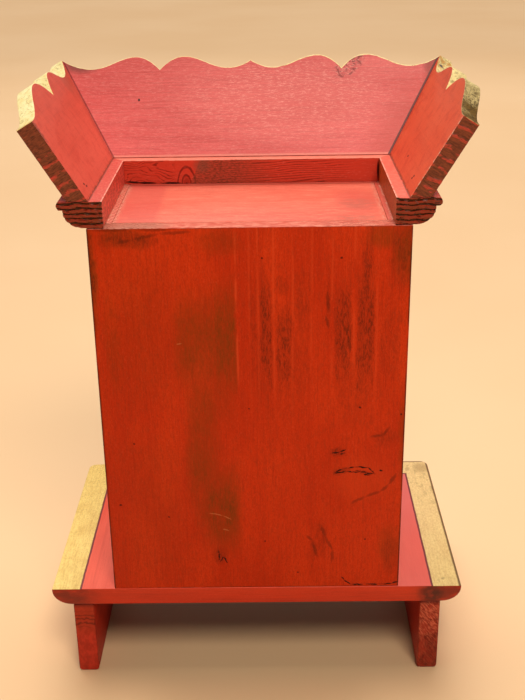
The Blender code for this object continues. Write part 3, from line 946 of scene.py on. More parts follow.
def rail_ledge(paint, side, colour, shift):
    """The top of a rail: paler, with a bright inner arris, and a dark line of grime and painted shade where
    the crown stands on it.
    """
    ledge = paint.z.rise(*LEDGE)
    out = paint.x.distance() if side != "front" else 90.0 - paint.y
    colour = paint.mix(ledge * 0.85, colour, LEDGE_TONES[side])
    worn = paint.cloud((3, 3, 3), 0.46, 0.62, detail=3.0, shift=shift + 5)
    colour = paint.mix(worn * ledge * 0.15, colour, srgb(246, 176, 156))
    arris = out.distance(113.8).rise(0.9, 0.2) * ledge * paint.cloud((5, 5, 5), 0.34, 0.5, shift=shift + 7)
    colour = paint.mix(arris * 0.6, colour, srgb(250, 190, 170))
    # A dark line, partly grime and partly painted shade, where the crown stands on the rail.
    joint = out.distance(123.6).rise(0.9, 0.3) * ledge * paint.cloud((7, 7, 7), 0.3, 0.5, shift=shift)
    return paint.mix(joint * 0.7, colour, srgb(112, 56, 42))


def rail_finish(side, axis, shift):
    paint = Finish(f"rail_red_{side}", gloss=0.25)
    colour, relief = coats(paint, axis, srgb(196, 48, 26), srgb(210, 58, 32), srgb(132, 28, 12), shift=shift,
                           streak_share=0.5)
    outward = paint.facing()
    if side == "front":
        colour = front_rail_face(paint, colour, outward)
    else:
        colour = side_rail_face(paint, side, colour, outward, shift)
    colour = rail_ledge(paint, side, colour, shift)
    colour = pitted(paint, colour, shift + 6, srgb(28, 10, 5), srgb(104, 56, 28), srgb(152, 50, 32))
    return paint.finish(colour, relief, 0.2, relief * 0.1 + 0.38)


RAIL_REDS = {side: rail_finish(side, axis, shift)
             for side, axis, shift in (("left", "y", 131), ("right", "y", 149), ("front", "x", 163))}
print("rail finishes:", len(RAIL_REDS))

# %% [markdown]
# ## Paint of the crown
# The front board is a cool pink with fine level grain, pale flecks that are painted glints, a painted sheen in
# its middle, a scarred knot under one hump, smoky corners and painted shade by one mitre. The side boards are
# plainer and warmer, one of them chipped and one smudged at the sawn end, with painted shade and a painted
# highlight by its mitre. All three have gold on the scalloped edge, which strays a little over the arris and
# is paler there as a painted highlight. How far below the edge a point lies comes from the attribute, so the
# gold follows the scallop exactly.

# %% Inner face of the front board
SCRATCHES = [
    [(-94.9, 530), (-99.3, 526), (-97.0, 523.4)], [(-96, 523), (-100.5, 519.5)],
    [(-80.6, 519.5), (-86.4, 521)], [(-78.7, 516), (-80.2, 511.4), (-83.0, 509)],
    [(-89, 511), (-92.8, 513.5)], [(-91, 523), (-95.4, 525.4)],
]
SCAR = (-89, 520), (19, 9.5), math.radians(145)


def front_grain(paint, colour, shift):
    """Fine level grain with pale flecks that are painted glints, and a painted sheen brightest in the middle
    of the board.
    """
    bands = paint.cloud((60, 2, 1.1), 0.50, 0.70, detail=4.0, roughness=0.6, shift=shift + 15)
    colour = paint.mix(bands * 0.32, colour, srgb(176, 60, 58))
    # Pale flecks are painted glints of light on the grain, stronger where the painted sheen lies.
    pale = paint.cloud((5, 1.2, 0.8), 0.49, 0.66, detail=5.0, roughness=0.85, shift=shift + 9)
    bright = paint.mark("xz", (-30, 492), (110, 40), soft=0.95) * 0.55 + 0.3
    colour = paint.mix(pale * bright, colour, srgb(255, 184, 178))
    # A painted sheen, brightest in the middle of the board.
    return paint.mix(paint.mark("xz", (-30, 486), (110, 34), soft=0.95) * 0.3, colour, srgb(240, 122, 118))


def front_scar(paint, colour, shaky):
    """The knot under one hump: pitted, with crumbs of pale wood and a few dark scratches."""
    scar = paint.mark("xz", *SCAR, soft=0.5, place=shaky)
    holes = paint.cloud((3.4, 3, 1.5), 0.52, 0.58, detail=4.0, roughness=0.7, shift=7)
    colour = paint.mix(scar * 0.4, colour, srgb(196, 76, 76))
    crumbs = scar * paint.cloud((2.4, 3, 1.6), 0.54, 0.62, shift=27)
    colour = paint.mix(crumbs * 0.6, colour, srgb(236, 170, 160))
    colour = paint.mix(scar * holes * 0.85, colour, srgb(112, 24, 22))
    lines = strongest(paint.strokes("xz", points, 1.0, place=shaky) for points in SCRATCHES)
    return paint.mix(lines * 0.8, colour, srgb(134, 30, 26))


print("scratches round the knot of the crown:", len(SCRATCHES))

# %% Corners of the front board


def front_corners(paint, colour, shaky):
    """Smoky and deep red corners, a single black speck, a pale foot, dark mitre lines, and painted shade by
    one mitre.
    """
    from_mitre = 90.0 - paint.y - paint.x.distance()
    smoky = paint.mark("xz", (154, 522), (22, 9), soft=0.9, place=shaky)
    colour = paint.mix(smoky * 0.75, colour, srgb(112, 56, 50))
    deep = paint.mark("xz", (-165, 519), (11, 16), soft=0.9, place=shaky)
    colour = paint.mix(deep * 0.75, colour, srgb(132, 30, 20))
    colour = paint.mix(paint.mark("xz", (101, 492.8), (1.3, 1.4)), colour, PIT_AND_SHADOW_BROWN)
    # Painted shade in the lower corner by the mitre at the -x end, and along that mitre.
    broad = from_mitre.rise(40.0, 4.0) * paint.z.rise(524.0, 474.0) * 0.55
    corner = broad.at_least(from_mitre.rise(10.0, 2.0) * 0.4)
    colour = paint.mix(corner * paint.x.rise(-50.0, -90.0), colour, srgb(184, 62, 50))
    foot = paint.z.rise(449.4, 447.2)
    colour = paint.mix(foot * 0.7, colour, srgb(246, 166, 148))
    shade = from_mitre.rise(2.8, 2.0) * paint.x.rise(-10.0, -20.0)
    shade = shade.at_least(from_mitre.rise(1.9, 1.4) * paint.x.rise(10.0, 20.0))
    return paint.mix(shade * (paint.x.rise(20.0, -20.0) * 0.35 + 0.6), colour, srgb(84, 14, 8))


def front_board_face(paint, colour, shaky, shift):
    colour = front_grain(paint, colour, shift)
    return front_corners(paint, front_scar(paint, colour, shaky), shaky)


print("front face of the crown ready")

# %% Inner faces of the side boards
SIDE_BOARD_TONES = {"left": srgb(230, 96, 60), "right": srgb(226, 94, 76)}
NAILS = {"left": [(29.9, 459.5), (86.0, 456.3), (84.1, 454.2)], "right": [(94.4, 455.3), (91.5, 453.0)]}


def chipped_end(paint, colour, shift):
    """Pale chips along the sawn end of the left board."""
    chips = paint.y.rise(110.6, 113.8) * paint.cloud((3, 3, 2.4), 0.49, 0.57, shift=shift + 14)
    return paint.mix(chips * 0.8, colour, srgb(240, 204, 176))


def smudged_end(paint, colour, shaky, shift):
    """A rubbed patch, painted shade and a painted highlight by the front mitre of the right board, and a
    smudge at its sawn end.
    """
    mitre = paint.y + paint.x.distance() - 90.0
    rubbed = paint.mark("yz", (-52, 512), (20, 16), soft=0.95, place=shaky) * 0.4
    colour = paint.mix(rubbed, colour, srgb(150, 78, 62))
    # Painted shade near the mitre.
    colour = paint.mix(mitre.rise(14.0, 3.0) * 0.35, colour, srgb(176, 64, 52))
    # A painted highlight along the arris of the mitre.
    colour = paint.mix(mitre.rise(1.5, 1.0) * 0.6, colour, srgb(246, 150, 130))
    smudge = paint.y.rise(106.0, 114.0) * paint.z.rise(478.0, 500.0)
    smudge = smudge * paint.cloud((4, 4, 4), 0.36, 0.60, detail=3.0, shift=shift + 14)
    return paint.mix(smudge * 0.8, colour, srgb(96, 56, 44))


def side_board_face(paint, side, colour, shaky, shift):
    """Soft mottling, nail holes, and a darker foot of grime and painted shade where the board meets the rail.
    """
    soft = paint.cloud((22, 22, 22), 0.34, 0.62, detail=3.0, shift=shift + 8)
    colour = paint.mix(soft * 0.5, colour, SIDE_BOARD_TONES[side])
    reddish = paint.cloud((9, 9, 9), 0.50, 0.68, detail=3.0, shift=shift + 10)
    colour = paint.mix(reddish * 0.3, colour, srgb(186, 44, 28))
    for nail in NAILS[side]:
        colour = paint.mix(paint.mark("yz", nail, (2.2, 1.0), soft=0.5), colour, srgb(60, 12, 5))
    # Darker foot, partly grime and partly painted shade, where the board stands on the rail.
    foot = paint.z.rise(448.6, 447.0) * paint.cloud((5, 5, 5), 0.36, 0.56, shift=shift + 12)
    colour = paint.mix(foot * 0.6, colour, srgb(128, 70, 54))
    if side == "left":
        return chipped_end(paint, colour, shift)
    return smudged_end(paint, colour, shaky, shift)


print("nail holes:", sum(len(holes) for holes in NAILS.values()))

# %% Gold of the scalloped edge
LIGHT_GOLD = srgb(252, 248, 196), srgb(238, 212, 134)
DARK_GOLD = srgb(255, 236, 172), srgb(108, 82, 36)


def scallop_gold(paint, side, tones, shaky, shift):
    """The gold of one board, paler over the arris as a painted highlight: grimy towards the back on the left
    board, and finely cracked on the others.
    """
    dull = paint.y.rise(24.0, 112.0) if side == "left" else paint.y.rise(100.0, 116.0) * 0.2
    gold = gold_paint(paint, *tones, dull * 0.85, (5, 5, 2), shift)
    # Painted highlight: gold that runs over the arris onto a face is paler.
    inside = paint.attribute(BELOW_EDGE).rise(0.02 * MM, 0.3 * MM)
    gold = paint.mix(inside * 0.5, gold, srgb(252, 232, 170))
    if side != "left":
        wander = paint.noise(paint.place, (16, 16, 9), detail=3.0, shift=shift + 9)
        dirt = wander.distance(0.5).rise(0.016, 0.004)
        return paint.mix(dirt * 0.45, gold, srgb(160, 128, 70))
    grimy = paint.cloud((1.6, 1.6, 1.6), 0.50, 0.60, detail=3.0, shift=shift + 9) * paint.y.rise(40.0, 80.0)
    gold = paint.mix(grimy * 0.85, gold, srgb(56, 42, 22))
    worn = paint.cloud((4, 7, 4), 0.50, 0.60, detail=3.0, shift=shift + 11) * paint.y.rise(-20.0, -44.0)
    gold = paint.mix(worn * 0.7, gold, srgb(196, 140, 74))
    dot = paint.mark("xy", (-171.4, -71.7), (2.4, 1.9), soft=0.6, place=shaky)
    return paint.mix(dot * 0.9, gold, srgb(70, 74, 92))


print("gold is read from the attribute", BELOW_EDGE)

# %% Finishes of the crown boards


def crown_finish(side, axis, reds, tones, shift):
    paint = Finish(f"crown_red_and_gold_{side}", gloss=0.35)
    front = side == "front"
    streaky = 0.5 if front else 0.15
    colour, relief = coats(paint, axis, *reds, shift=shift, streak_share=streaky, grit_share=0.3)
    shaky = paint.wobbled(2.4, 4.0)
    if front:
        face = front_board_face(paint, colour, shaky, shift)
    else:
        face = side_board_face(paint, side, colour, shaky, shift)
    colour = paint.mix(paint.facing()[2].rise(0.25, 0.40), colour, face)
    lean = {"left": -CROWN_LEAN, "right": CROWN_LEAN, "front": 0.0}[side]
    colour = pitted(paint, colour, shift + 6, srgb(88, 38, 20), srgb(138, 66, 40), srgb(198, 64, 50), lean)
    reach = paint.x.rise(30.0, -60.0) * 0.7 + 0.9 if front else 0.9
    stray = paint.noise(paint.place, (7, 7, 7), shift=shift) * reach
    edge = (paint.attribute(BELOW_EDGE) / MM - stray).rise(0.25, 0.0)
    colour = paint.mix(edge, colour, scallop_gold(paint, side, tones, shaky, shift))
    return paint.finish(colour, relief, 0.2, relief * 0.1 + 0.38)


LEFT_REDS = srgb(226, 92, 58), srgb(234, 110, 76), srgb(180, 54, 28)
RIGHT_REDS = srgb(214, 82, 64), srgb(226, 98, 80), srgb(164, 52, 38)
FRONT_PINKS = srgb(218, 86, 86), srgb(230, 104, 104), srgb(184, 64, 64)
CROWN_PAINTS = {
    "left": crown_finish("left", "y", LEFT_REDS, DARK_GOLD, 179),
    "right": crown_finish("right", "y", RIGHT_REDS, LIGHT_GOLD, 191),
    "front": crown_finish("front", "x", FRONT_PINKS, LIGHT_GOLD, 211),
}
print("crown finishes:", len(CROWN_PAINTS))

# %% [markdown]
# ## Growing boards with Geometry Nodes
# A scalloped board follows a rule: its outline is a template, and the board leans outwards from its foot. So
# a node tree grows it. A box of many small faces is laid out first. Each of its columns then looks up its
# place and its height on the template, and each point moves to where that column, row and layer belong. The
# result is closed, because a box is, and its small faces let the sawn end be carved.

# %% Trees that grow a piece
class Growth(Wiring):
    """A Geometry Nodes tree with named inputs."""

    def __init__(self, name, inputs):
        super().__init__(bpy.data.node_groups.new(name, "GeometryNodeTree"))
        self.tree.interface.new_socket("Geometry", in_out="OUTPUT", socket_type="NodeSocketGeometry")
        for label, kind in inputs.items():
            self.tree.interface.new_socket(label, in_out="INPUT", socket_type="NodeSocket" + kind)
        group = self.node("NodeGroupInput")
        self.inputs = {label: Value(self, group.outputs[label]) for label in inputs}

    def lattice(self, columns, layers, rows):
        """A closed box of unit size with that many points along x, y and z."""
        box = self.node("GeometryNodeMeshCube")
        box.inputs["Size"].default_value = (1, 1, 1)
        for name, count in (("Vertices X", columns), ("Vertices Y", layers), ("Vertices Z", rows)):
            self.feed(box.inputs[name], count)
        place = self.node("GeometryNodeInputPosition")
        shares = self.vector("ADD", Value(self, place.outputs[0]), (0.5, 0.5, 0.5))
        return Value(self, box.outputs["Mesh"]), self.parts(shares)

    def template(self, source, index):
        """The place of one point of a template."""
        drawing = self.node("GeometryNodeObjectInfo")
        self.feed(drawing.inputs["Object"], source)
        place = self.node("GeometryNodeInputPosition")
        sample = self.node("GeometryNodeSampleIndex", data_type="FLOAT_VECTOR", domain="POINT")
        self.tree.links.new(drawing.outputs["Geometry"], sample.inputs["Geometry"])
        self.tree.links.new(place.outputs[0], sample.inputs["Value"])
        self.feed(sample.inputs["Index"], index)
        return self.parts(Value(self, sample.outputs["Value"]))

    def store(self, geometry, name, value):
        made = self.node("GeometryNodeStoreNamedAttribute", data_type="FLOAT", domain="POINT")
        self.feed(made.inputs["Geometry"], geometry)
        made.inputs["Name"].default_value = name
        self.feed(made.inputs["Value"], value)
        return Value(self, made.outputs["Geometry"])

    def moved(self, geometry, place):
        made = self.node("GeometryNodeSetPosition")
        self.feed(made.inputs["Geometry"], geometry)
        self.feed(made.inputs["Position"], place)
        return Value(self, made.outputs["Geometry"])

    def spot(self, along, out, up):
        """A place reckoned from the start: so far along the piece, outwards, and up."""
        given = self.inputs
        spot = self.vector("ADD", given["Start"], self.vector("SCALE", given["Along"], scale=along))
        spot = self.vector("ADD", spot, self.vector("SCALE", given["Outward"], scale=out))
        return self.vector("ADD", spot, self.joined(0.0, 0.0, up))

    def end(self, geometry):
        """Realizes the instances and sets the material, as every tree here ends."""
        real = self.node("GeometryNodeRealizeInstances")
        self.feed(real.inputs["Geometry"], geometry)
        painted = self.node("GeometryNodeSetMaterial")
        self.tree.links.new(real.outputs["Geometry"], painted.inputs["Geometry"])
        self.feed(painted.inputs["Material"], self.inputs["Paint"])
        self.tree.links.new(painted.outputs["Geometry"], self.node("NodeGroupOutput").inputs[0])


print("a tree can look up a template")


# %% Pieces from a tree
def settle(piece):
    """Applies the piece's modifiers to its mesh and clears them."""
    bpy.context.view_layer.update()
    depsgraph = bpy.context.evaluated_depsgraph_get()
    mesh = bpy.data.meshes.new_from_object(
        piece.evaluated_get(depsgraph), preserve_all_data_layers=True, depsgraph=depsgraph)
    piece.modifiers.clear()
    piece.data = mesh
    piece.data.name = piece.name


def point_outwards(mesh):
    """Turns every face of a closed shape outwards."""
    shape = bmesh.new()
    shape.from_mesh(mesh)
    bmesh.ops.recalc_face_normals(shape, faces=shape.faces)
    shape.to_mesh(mesh)
    shape.free()


def grown(name, growth, settings):
    """A piece that a tree grew from the settings."""
    piece = bpy.data.objects.new(name, bpy.data.meshes.new(name))
    bpy.context.scene.collection.objects.link(piece)
    modifier = piece.modifiers.new("growth", "NODES")
    modifier.node_group = growth.tree
    for item in growth.tree.interface.items_tree:
        if item.in_out == "INPUT":
            modifier[item.identifier] = settings[item.name]
    settle(piece)
    point_outwards(piece.data)
    return piece


def drawn(name, points):
    """A template: points in the x and z of a flat drawing."""
    mesh = bpy.data.meshes.new(name)
    mesh.from_pydata([(x, 0.0, z) for x, z in points], [], [])
    template = bpy.data.objects.new(name, mesh)
    bpy.context.scene.collection.objects.link(template)
    return template


print("a piece can be grown from its settings")

# %% [markdown]
# ## Softened arrises
# A sharp mathematical edge catches no light. Sandpaper and paint round the arrises of real boards by about
# half a millimetre, and that thin band shows as a bright line. The Bevel modifier makes it. Broad flat faces
# stay flat shaded, and only the rounded ones are smooth.

# %% Rounding and shading
ROUND_STEPS = 2
ROUND_ANGLE = math.radians(35.0)
SHARP_ANGLE = math.radians(38.0)
FLAT_SHARE = 0.9999


def soften(piece, width):
    """Rounds the piece's arrises, and shades its curves smooth."""
    bevel = piece.modifiers.new("arris", "BEVEL")
    bevel.width = width
    bevel.segments = ROUND_STEPS
    bevel.limit_method = "ANGLE"
    bevel.angle_limit = ROUND_ANGLE
    bevel.miter_outer = "MITER_SHARP"
    settle(piece)
    for face in piece.data.polygons:
        face.use_smooth = max(abs(c) for c in face.normal) < FLAT_SHARE
    piece.data.set_sharp_from_angle(angle=SHARP_ANGLE)


def fit(piece, node, slot):
    """Hands the piece to the frame: it rides on the body and stands in for a solid."""
    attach(piece, "root")
    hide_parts(node)
    triangles = sum(len(face.vertices) - 2 for face in piece.data.polygons)
    print(f"{piece.name}: {triangles} triangles")


print("arrises are rounded in", ROUND_STEPS, "steps")

# %% [markdown]
# ## Crown boards
# The scallop is drawn first, as a joiner marks it out on card: round humps and dips, and sharp peaks and
# notches between them. The tree leans the board outwards. Near a mitre it draws the columns in to the
# slanting joint, so that no separate cut is needed.

# %% Template of the scallop
CROWN_HEIGHT = 95.0 * MM
CROWN_THICKNESS = 14.0 * MM
CROWN_INNER_HALF = 124.0 * MM
CROWN_INNER_Y = -34.0 * MM
CROWN_BOTTOM_Z = 446.6 * MM
BACK_Y = 115.0 * MM
MITRE_GAP = 0.3 * MM / math.sqrt(2)
CORNER_PEAK_DROP = 2.6 * MM
CURVE_STEPS = 14
ROUND = ("hump", "dip", "level")


def scallop(stations):
    """Points along a scalloped edge through stations of (place, height, form)."""
    points = []
    for (start, low, form), (end, high, next_form) in zip(stations, stations[1:]):
        for i in range(CURVE_STEPS):
            t = i / CURVE_STEPS
            if form in ROUND and next_form in ROUND:
                share = (1 - math.cos(math.pi * t)) / 2
            elif form in ROUND:
                share = t * t
            else:
                share = 1 - (1 - t) ** 2
            points.append((start + (end - start) * t, low + (high - low) * share))
    points.append(stations[-1][:2])
    return points


def stations(length, first, steps):
    """Stations from steps of (span, drop below the humps, form), stretched to fill the length."""
    stretch = length / sum(span for span, _, _ in steps)
    made = [(0.0, CROWN_HEIGHT - first[0] * MM, first[1])]
    for span, drop, form in steps:
        made.append((made[-1][0] + span * stretch, CROWN_HEIGHT - drop * MM, form))
    return made


CORNER_REACH = (CROWN_HEIGHT - CORNER_PEAK_DROP) * math.sin(CROWN_LEAN)
FRONT_HALF = CROWN_INNER_HALF + CORNER_REACH
SIDE_LENGTH = BACK_Y - CROWN_INNER_Y + CORNER_REACH
FRONT_STEPS = [(20.5, 11.2, "dip"), (39.5, 0.0, "hump"), (22.0, 12.6, "notch"), (22.0, 0.0, "hump"),
               (39.5, 11.2, "dip"), (27.5, 2.6, "peak")]
SIDE_STEPS = [(6.0, 22.5, "dip"), (61.0, 2.6, "hump"), (34.0, 19.5, "notch"), (27.0, 2.6, "hump"),
              (42.0, 14.5, "dip"), (28.0, 2.6, "peak")]
front_right = scallop(stations(FRONT_HALF, (4.2, "peak"), FRONT_STEPS))
front_points = [(-x, height) for x, height in reversed(front_right[1:])] + front_right
side_points = scallop(stations(SIDE_LENGTH, (22.5, "level"), SIDE_STEPS))
front_template = drawn("front_scallop", front_points)
side_template = drawn("side_scallop", side_points)
print("template points:", len(front_points), "and", len(side_points))

# %% Tree for a leaning board
BOARD_INPUTS = {
    "Template": "Object", "Columns": "Int", "Rows": "Int", "Layers": "Int", "Start": "Vector",
    "Along": "Vector", "Outward": "Vector", "Thickness": "Float", "Lean": "Float", "Corner": "Float",
    "Foot Corner": "Float", "Fan Start": "Float", "Carving": "Float", "Ring Spacing": "Float",
    "Ring Width": "Float", "Ring Fade": "Float", "Ring Seed": "Float", "Paint": "Material",
}
RING_FADE_SPAN = 0.012


def ring_carving(growth, across, up):
    """How deep the soft wood between the rings of a sawn end lies, from 0 to 1."""
    given = growth.inputs
    seed = given["Ring Seed"]
    flat = growth.joined(across, 0.0, up)

    def grain(offset, width, height, detail=2.0):
        """Mottling on the sawn end, moved by the seed so that no two boards match."""
        place = growth.vector("ADD", flat, growth.joined(*offset))
        return growth.noise(place, (width, 1.0, height), detail=detail)

    phase = up / given["Ring Spacing"] + grain((seed, 0.0, 0.0), 0.013, 0.010) * 1.1
    uneven = grain((0.0, seed, 0.1), 0.007, 0.003, detail=1.0)
    wave = growth.math("COSINE", phase * (2 * math.pi)) + given["Ring Width"] + (uneven - 0.5) * 2.0
    broken = grain((0.0, 0.0, seed), 0.0050, 0.0013)
    gone = ((up - given["Ring Fade"]) / RING_FADE_SPAN).at_least(0.0).at_most(1.0)
    ridge = wave.rise(0.15, 0.75) * (1.0 - broken.rise(0.56, 0.68) * 0.8) * (1.0 - gone * 0.85)
    crumb = grain((0.0, 0.0, seed), 0.0022, 0.0014)
    return (1.0 - ridge) * (crumb.rise(0.30, 0.62) * 0.6 + 0.4)


def leaning_board():
    """The tree that leans a scalloped board outwards from its foot, and draws it in at a mitre."""
    growth = Growth("leaning_board", BOARD_INPUTS)
    given = growth.inputs
    counts = given["Columns"], given["Layers"], given["Rows"]
    box, (column_share, layer_share, row_share) = growth.lattice(*counts)
    column = growth.math("ROUND", column_share * (given["Columns"] - 1))
    place, _, edge_height = growth.template(given["Template"], column)
    sine = growth.math("SINE", given["Lean"])
    cosine = growth.math("COSINE", given["Lean"])
    depth = layer_share * given["Thickness"]
    foot = depth * sine / cosine
    height = foot + row_share * (edge_height - foot)
    corner_height = foot + row_share * ((given["Corner"] - given["Foot Corner"]) / sine - foot)
    limit = given["Foot Corner"] - MITRE_GAP + corner_height * sine + depth * cosine
    distance = place.distance()
    fan = ((distance - given["Fan Start"]) / (given["Corner"] - given["Fan Start"])).at_least(0.0)
    at_corner = growth.math("GREATER_THAN", distance, given["Corner"] - 0.1 * MM)
    drawn_in = (given["Corner"] - limit).at_least(0.0) * fan
    drawn_out = (limit - given["Corner"]).at_least(0.0) * at_corner
    sign = growth.math("SIGN", place)
    at_end = growth.math("LESS_THAN", column, 0.5)
    carved = ring_carving(growth, depth, height) * at_end
    carved = carved * growth.math("GREATER_THAN", given["Carving"], 0.0)
    final = sign * (distance - drawn_in + drawn_out) + carved * given["Carving"]
    out = height * sine + depth * cosine
    rise = height * cosine - depth * sine
    spot = growth.spot(final, out, rise)
    board = growth.store(box, CARVED, carved)
    board = growth.store(board, BELOW_EDGE, edge_height - height)
    growth.end(growth.moved(board, spot))
    return growth


LEANING_BOARD = leaning_board()
print("leaning board:", len(LEANING_BOARD.tree.nodes), "nodes")

# %% Grow the crown boards
CROWN_SLOT = "crown_red_and_gold_paint"
BOARD_ROWS = 90
BOARD_LAYERS = 11
CROWN_CARVING = 0.7 * MM
CROWN_ROUNDING = 0.45 * MM
crown_common = {
    "Rows": BOARD_ROWS, "Layers": BOARD_LAYERS, "Thickness": CROWN_THICKNESS, "Lean": CROWN_LEAN,
    "Ring Spacing": 8.6 * MM, "Ring Width": -0.2,
}
crown_front = grown("crown_front_board", LEANING_BOARD, {
    **crown_common, "Template": front_template, "Columns": len(front_points),
    "Start": (0, CROWN_INNER_Y, CROWN_BOTTOM_Z), "Along": (1, 0, 0), "Outward": (0, -1, 0),
    "Corner": FRONT_HALF, "Foot Corner": CROWN_INNER_HALF, "Fan Start": 80 * MM, "Carving": 0.0,
    "Ring Fade": 1.0, "Ring Seed": 0.0, "Paint": CROWN_PAINTS["front"]})
crown_sides = {}
for side, sign, seed, fade in (("left", -1, 0.3, 1.0), ("right", 1, 0.7, 40 * MM)):
    crown_sides[side] = grown(f"crown_{side}_board", LEANING_BOARD, {
        **crown_common, "Template": side_template, "Columns": len(side_points),
        "Start": (sign * CROWN_INNER_HALF, BACK_Y, CROWN_BOTTOM_Z),
        "Along": (0, -1, 0), "Outward": (sign, 0, 0),
        "Corner": SIDE_LENGTH, "Foot Corner": BACK_Y - CROWN_INNER_Y, "Fan Start": 110 * MM,
        "Carving": CROWN_CARVING, "Ring Fade": fade, "Ring Seed": seed, "Paint": CROWN_PAINTS[side]})
for piece, node in ((crown_front, "crown_front"), (crown_sides["left"], "crown_left"),
                    (crown_sides["right"], "crown_right")):
    soften(piece, CROWN_ROUNDING)
    fit(piece, node, CROWN_SLOT)

# %% [markdown]
# ## Rails
# A rail is one moulding: a quarter round, a small step and a half-round bead on top. Its section is the
# template this time, and its rows look up how far out the moulding stands at each height. The rail is
# stretched by the same distance where it is mitred.

# %% Template of the moulding
RAIL_HEIGHT = 21.2 * MM
RAIL_WIDTH = 35.5 * MM
RAIL_FOOT_OUT = 13.9 * MM
RAIL_BEAD_HEIGHT = 6.6 * MM
RAIL_BEAD_NOSE = 2.4 * MM
RAIL_NECK_OUT = RAIL_WIDTH - 4.8 * MM
RAIL_NECK_LOW = RAIL_HEIGHT - RAIL_BEAD_HEIGHT - 1.8 * MM
RAIL_INNER_HALF = 113.4 * MM
RAIL_INNER_Y = -23.4 * MM
RAIL_BOTTOM_Z = 425.1 * MM
RAIL_ROW_STEP = 0.6 * MM


def arc(centre, radii, start_deg, end_deg, steps):
    """Points on part of an ellipse."""
    angles = [math.radians(start_deg + (end_deg - start_deg) * i / steps) for i in range(steps + 1)]
    return [(centre[0] + radii[0] * math.cos(a), centre[1] + radii[1] * math.sin(a)) for a in angles]


def with_steps(points, step):
    """The same line with further points, so that none is more than a step from the next."""
    made = [points[0]]
    for (x0, z0), (x1, z1) in zip(points, points[1:]):
        count = max(1, math.ceil(math.hypot(x1 - x0, z1 - z0) / step))
        made += [(x0 + (x1 - x0) * i / count, z0 + (z1 - z0) * i / count) for i in range(1, count + 1)]
    return made


def rail_section():
    """The moulded side of the rail, from its foot up, as (distance out, height)."""
    bead_z = RAIL_HEIGHT - RAIL_BEAD_HEIGHT / 2
    hollow = RAIL_NECK_OUT - RAIL_FOOT_OUT, RAIL_NECK_LOW
    section = arc((RAIL_FOOT_OUT, RAIL_NECK_LOW), hollow, 270, 360, 16)
    section += [(RAIL_NECK_OUT, RAIL_HEIGHT - RAIL_BEAD_HEIGHT)]
    bead = arc((RAIL_WIDTH - RAIL_BEAD_NOSE, bead_z), (RAIL_BEAD_NOSE, RAIL_BEAD_HEIGHT / 2), 270, 450, 16)
    return with_steps(section, RAIL_ROW_STEP) + bead


rail_points = rail_section()
rail_template = drawn("rail_section", rail_points)
print("rail section points:", len(rail_points))

# %% Tree for a moulding
RAIL_INPUTS = {
    "Template": "Object", "Rows": "Int", "Layers": "Int", "Columns": "Int", "Start": "Vector",
    "Along": "Vector", "Outward": "Vector", "Length": "Float", "Both Ways": "Float", "Carving": "Float",
    "Ring Spacing": "Float", "Ring Width": "Float", "Ring Fade": "Float", "Ring Seed": "Float",
    "Paint": "Material",
}


def moulding():
    """The tree that runs a moulded section along a rail."""
    growth = Growth("moulding", RAIL_INPUTS)
    given = growth.inputs
    counts = given["Columns"], given["Layers"], given["Rows"]
    box, (column_share, layer_share, row_share) = growth.lattice(*counts)
    row = growth.math("ROUND", row_share * (given["Rows"] - 1))
    reach, _, height = growth.template(given["Template"], row)
    out = layer_share * reach
    share = column_share * (given["Both Ways"] + 1) - given["Both Ways"]
    at_end = growth.math("LESS_THAN", column_share, 0.001)
    carved = ring_carving(growth, out, height) * at_end
    carved = carved * growth.math("GREATER_THAN", given["Carving"], 0.0)
    final = share * (given["Length"] + out - MITRE_GAP) + carved * given["Carving"]
    spot = growth.spot(final, out, height)
    growth.end(growth.moved(growth.store(box, CARVED, carved), spot))
    return growth


MOULDING = moulding()
print("moulding:", len(MOULDING.tree.nodes), "nodes")

# %% Grow the rails
RAIL_SLOT = "rail_red_paint"
RAIL_CARVING = 1.4 * MM
RAIL_ROUNDING = 0.35 * MM
rail_rings = {"Ring Spacing": 4.0 * MM, "Ring Width": 0.9, "Ring Fade": 1.0}
rail_front = grown("rail_front_moulding", MOULDING, {
    "Template": rail_template, "Rows": len(rail_points), "Layers": 12, "Columns": 13,
    "Start": (0, RAIL_INNER_Y, RAIL_BOTTOM_Z), "Along": (1, 0, 0), "Outward": (0, -1, 0),
    "Length": RAIL_INNER_HALF, "Both Ways": 1.0, "Carving": 0.0, "Ring Seed": 0.0, **rail_rings,
    "Paint": RAIL_REDS["front"]})
soften(rail_front, RAIL_ROUNDING)
fit(rail_front, "rail_front", RAIL_SLOT)
for side, sign, seed in (("left", -1, 1.1), ("right", 1, 1.9)):
    rail = grown(f"rail_{side}_moulding", MOULDING, {
        "Template": rail_template, "Rows": len(rail_points), "Layers": 36, "Columns": 9,
        "Start": (sign * RAIL_INNER_HALF, BACK_Y, RAIL_BOTTOM_Z),
        "Along": (0, -1, 0), "Outward": (sign, 0, 0),
        "Length": BACK_Y - RAIL_INNER_Y, "Both Ways": 0.0, "Carving": RAIL_CARVING,
        "Ring Seed": seed, "Paint": RAIL_REDS[side], **rail_rings})
    soften(rail, RAIL_ROUNDING)
    fit(rail, f"rail_{side}", RAIL_SLOT)
for template in (front_template, side_template, rail_template):
    bpy.data.objects.remove(template)

# %% [markdown]
# ## Flat boards
# The other boards are already the right shape in the CAD model, so each is a copy of its solid. The copy's
# loose triangles are merged and joined into broad faces, and then its arrises are rounded.

# %% Copy of a solid
SAME_PLACE = 1e-6
SAME_PLANE = math.radians(0.5)


